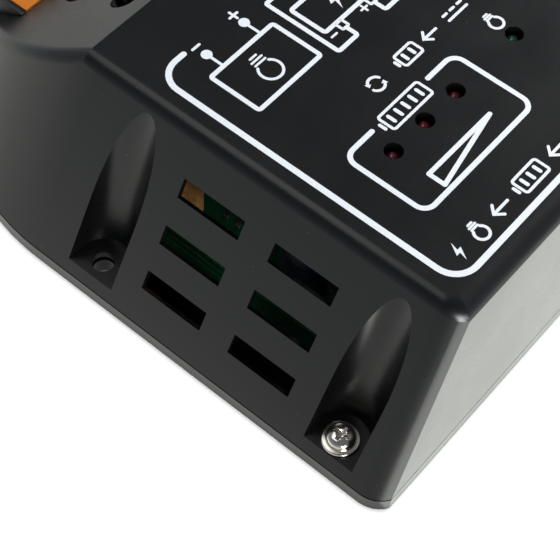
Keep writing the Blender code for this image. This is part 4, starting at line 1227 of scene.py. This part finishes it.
def make_fine_pieces(materials):
    for name in ("case_screw_1", "case_screw_2"):
        case_screw(name, materials)
    for k in WAYS:
        clamp_screw(k, materials)
    for name in LAMP_NODES:
        lamp(name, materials)
    lamp_leads(LAMP_NODES, materials)
    for k in (1, 2):
        electrolytic(k, materials)
    for k in range(1, 5):
        transistor(k, materials)
    chip("microcontroller", 14, 0.42, materials)
    chip("voltage_regulator", 3, 0.8, materials)
    crystal_can(materials)
    diode(materials)
    shunt(materials)
    board_leads(materials)
    board_tracks(materials)
    passives(materials)
    housing_ribs(materials)
    base_marks(materials)


# ------------------------------------------------------------ floor, light, camera


def inside(tree, value, low, high, soft):
    """1 where the value lies between low and high, falling to 0 within soft outside them."""
    above = remap(tree, value, low - soft, low)
    below = remap(tree, value, high, high + soft, 1.0, 0.0)
    return math_node(tree, "MULTIPLY", above, below)


def make_floor():
    """A white floor with a painted shadow under the object's mount holes and a painted contact shadow near
    the object, clear when seen from below.
    """
    bm = bmesh.new()
    bmesh.ops.create_grid(bm, x_segments=1, y_segments=1, size=4.0)
    mesh = bpy.data.meshes.new("floor")
    bm.to_mesh(mesh)
    bm.free()
    floor = bpy.data.objects.new("floor", mesh)
    bpy.context.scene.collection.objects.link(floor)
    floor.location.z = cad_low.z - 0.2 * MM
    material = bpy.data.materials.new("floor")
    material.use_nodes = True
    tree = material.node_tree
    tree.nodes.clear()
    rays = add_node(tree, "LightPath")
    geometry = add_node(tree, "NewGeometry")
    spot = add_node(tree, "SeparateXYZ", Vector=geometry.outputs["Position"])
    # Painted shadow: a square patch round each mount hole, where the floor glows less.
    hole_x, hole_y = MOUNT_HOLE
    off_middle = math_node(tree, "ABSOLUTE", spot.outputs["X"])
    in_x = inside(tree, off_middle, hole_x - HOLE_SHADE_REACH, hole_x + HOLE_SHADE_REACH, MM)
    in_y = inside(tree, spot.outputs["Y"], hole_y - HOLE_SHADE_REACH, hole_y + HOLE_SHADE_REACH, MM)
    under = math_node(tree, "MULTIPLY", in_x, in_y)
    aside = math_node(tree, "SUBTRACT", spot.outputs["X"], cad_high.x)
    behind = math_node(tree, "SUBTRACT", spot.outputs["Y"], cad_high.y)
    bearing = math_node(tree, "ARCTAN2", behind, aside)
    start, fade = [[math.radians(a) for a in limits] for limits in (GLARE_START, GLARE_FADE)]
    rise = remap(tree, bearing, *start, 0.0, CORNER_GLARE - FLOOR_GLOSSY)
    fall = remap(tree, bearing, *fade, FLOOR_GLOSSY, FLOOR_GLOSSY + FLOOR_GLARE - CORNER_GLARE)
    front = remap(tree, bearing, math.radians(GLARE_FRONT[1]), math.radians(GLARE_FRONT[0]), FRONT_GLARE, 0.0)
    glare = math_node(tree, "ADD", math_node(tree, "ADD", rise, fall), front)
    strength = add_node(tree, "Mix", i0=rays.outputs["Is Glossy Ray"], i2=FLOOR_DIFFUSE, i3=glare).outputs[0]
    strength = add_node(tree, "Mix", i0=rays.outputs["Is Camera Ray"], i2=strength, i3=FLOOR_SEEN).outputs[0]
    # Painted contact shadow: ambient occlusion dims the floor's glow near the object.
    open_sky = add_node(tree, "AmbientOcclusion", {"samples": 8}, Distance=CONTACT_SHADE).outputs["AO"]
    strength = math_node(tree, "MULTIPLY", strength, remap(tree, open_sky, 0.35, 0.9, 0.3, 1.0))
    seen = rays.outputs["Is Camera Ray"]
    below = add_node(tree, "Mix", i0=seen, i2=HOLE_SHADE_GLOW, i3=HOLE_SHADE_SEEN).outputs[0]
    strength = add_node(tree, "Mix", i0=under, i2=strength, i3=below).outputs[0]
    paper = remap(tree, noise(tree, 3.0, detail=3.0), 0.0, 1.0, 0.84, 0.87)
    # The paper is darker in the painted shadow under the mount holes.
    paper = math_node(tree, "MULTIPLY", paper, remap(tree, under, 0.0, 1.0, 1.0, 0.05))
    white = add_node(tree, "CombineColor", i0=paper, i1=paper, i2=paper).outputs[0]
    diffuse = add_node(tree, "BsdfDiffuse", Color=white, Roughness=1.0)
    tint = mix_colour(tree, rays.outputs["Is Glossy Ray"], (1.0, 0.995, 0.985, 1), (0.97, 1.0, 0.945, 1))
    glow = add_node(tree, "Emission", Color=tint, Strength=strength)
    both = add_node(tree, "AddShader", i0=diffuse.outputs[0], i1=glow.outputs[0])
    both = add_node(tree, "MixShader", i0=seen, i1=glow.outputs[0], i2=both.outputs[0])
    clear = add_node(tree, "BsdfTransparent")
    shown = add_node(
        tree, "MixShader", i0=geometry.outputs["Backfacing"], i1=both.outputs[0], i2=clear.outputs[0]
    )
    add_node(tree, "OutputMaterial", Surface=shown.outputs[0])
    mesh.materials.append(material)


def make_world():
    """A white studio: bright at the horizon, darker overhead."""
    world = bpy.data.worlds.new("studio")
    bpy.context.scene.world = world
    world.use_nodes = True
    tree = world.node_tree
    tree.nodes.clear()
    way = add_node(tree, "TexCoord").outputs["Generated"]
    height = add_node(tree, "SeparateXYZ", Vector=way).outputs["Z"]
    ramp = add_node(tree, "ValToRGB", Fac=remap(tree, height, -1.0, 1.0))
    stops = ramp.color_ramp.elements
    stops[0].position, stops[0].color = 0.0, grey(SKY[0][1], SKY_TINT)
    stops[1].position, stops[1].color = 1.0, grey(SKY[-1][1], SKY_TINT)
    for level, value in SKY[:-1]:
        stops.new((level + 1) / 2).color = grey(value, SKY_TINT)
    background = add_node(tree, "Background", Color=ramp.outputs[0], Strength=1.0)
    add_node(tree, "OutputWorld", Surface=background.outputs[0])


def add_softbox(name, place_at, aim, size, power):
    """A soft rectangular light at a point, aimed at another."""
    light = bpy.data.lights.new(name, "AREA")
    light.shape = "RECTANGLE"
    light.size, light.size_y = size
    light.energy = power
    lamp = bpy.data.objects.new(name, light)
    bpy.context.scene.collection.objects.link(lamp)
    lamp.location = place_at
    lamp.rotation_euler = (Vector(place_at) - Vector(aim)).to_track_quat("Z", "Y").to_euler()
    return lamp


def make_lights():
    """A small overhead box, the main one at the far end, and a low one that glints on the back corner."""
    centre = (cad_low + cad_high) / 2
    for name, offset, size, power in SOFTBOXES:
        add_softbox(name, centre + Vector(offset), centre, size, power)


def make_camera():
    azimuth, elevation = math.radians(CAMERA_AZIMUTH), math.radians(CAMERA_ELEVATION)
    target = Vector((CAMERA_TARGET_X, CAMERA_TARGET_Y, LABEL_Z))
    flat = math.cos(elevation)
    back = Vector((math.sin(azimuth) * flat, -math.cos(azimuth) * flat, math.sin(elevation)))
    level = Vector((math.cos(azimuth), math.sin(azimuth), 0))
    up = back.cross(level)
    roll = math.radians(CAMERA_ROLL)
    right = level * math.cos(roll) + up * math.sin(roll)
    up = back.cross(right)
    camera = bpy.data.objects.new("camera", bpy.data.cameras.new("camera"))
    bpy.context.scene.collection.objects.link(camera)
    camera.data.lens = CAMERA_LENS
    camera.data.sensor_width = CAMERA_SENSOR
    camera.data.clip_start = 0.01
    camera.data.clip_end = 20.0
    matrix = Matrix((right, up, back)).transposed().to_4x4()
    matrix.translation = target + back * CAMERA_DISTANCE
    camera.matrix_world = matrix
    bpy.context.scene.camera = camera


MATERIALS = make_materials()
dress_nodes(MATERIALS)
print_label(MATERIALS["ink"])
make_fine_pieces(MATERIALS)
make_floor()
make_world()
make_lights()
make_camera()
bpy.context.scene.view_settings.view_transform = "Standard"
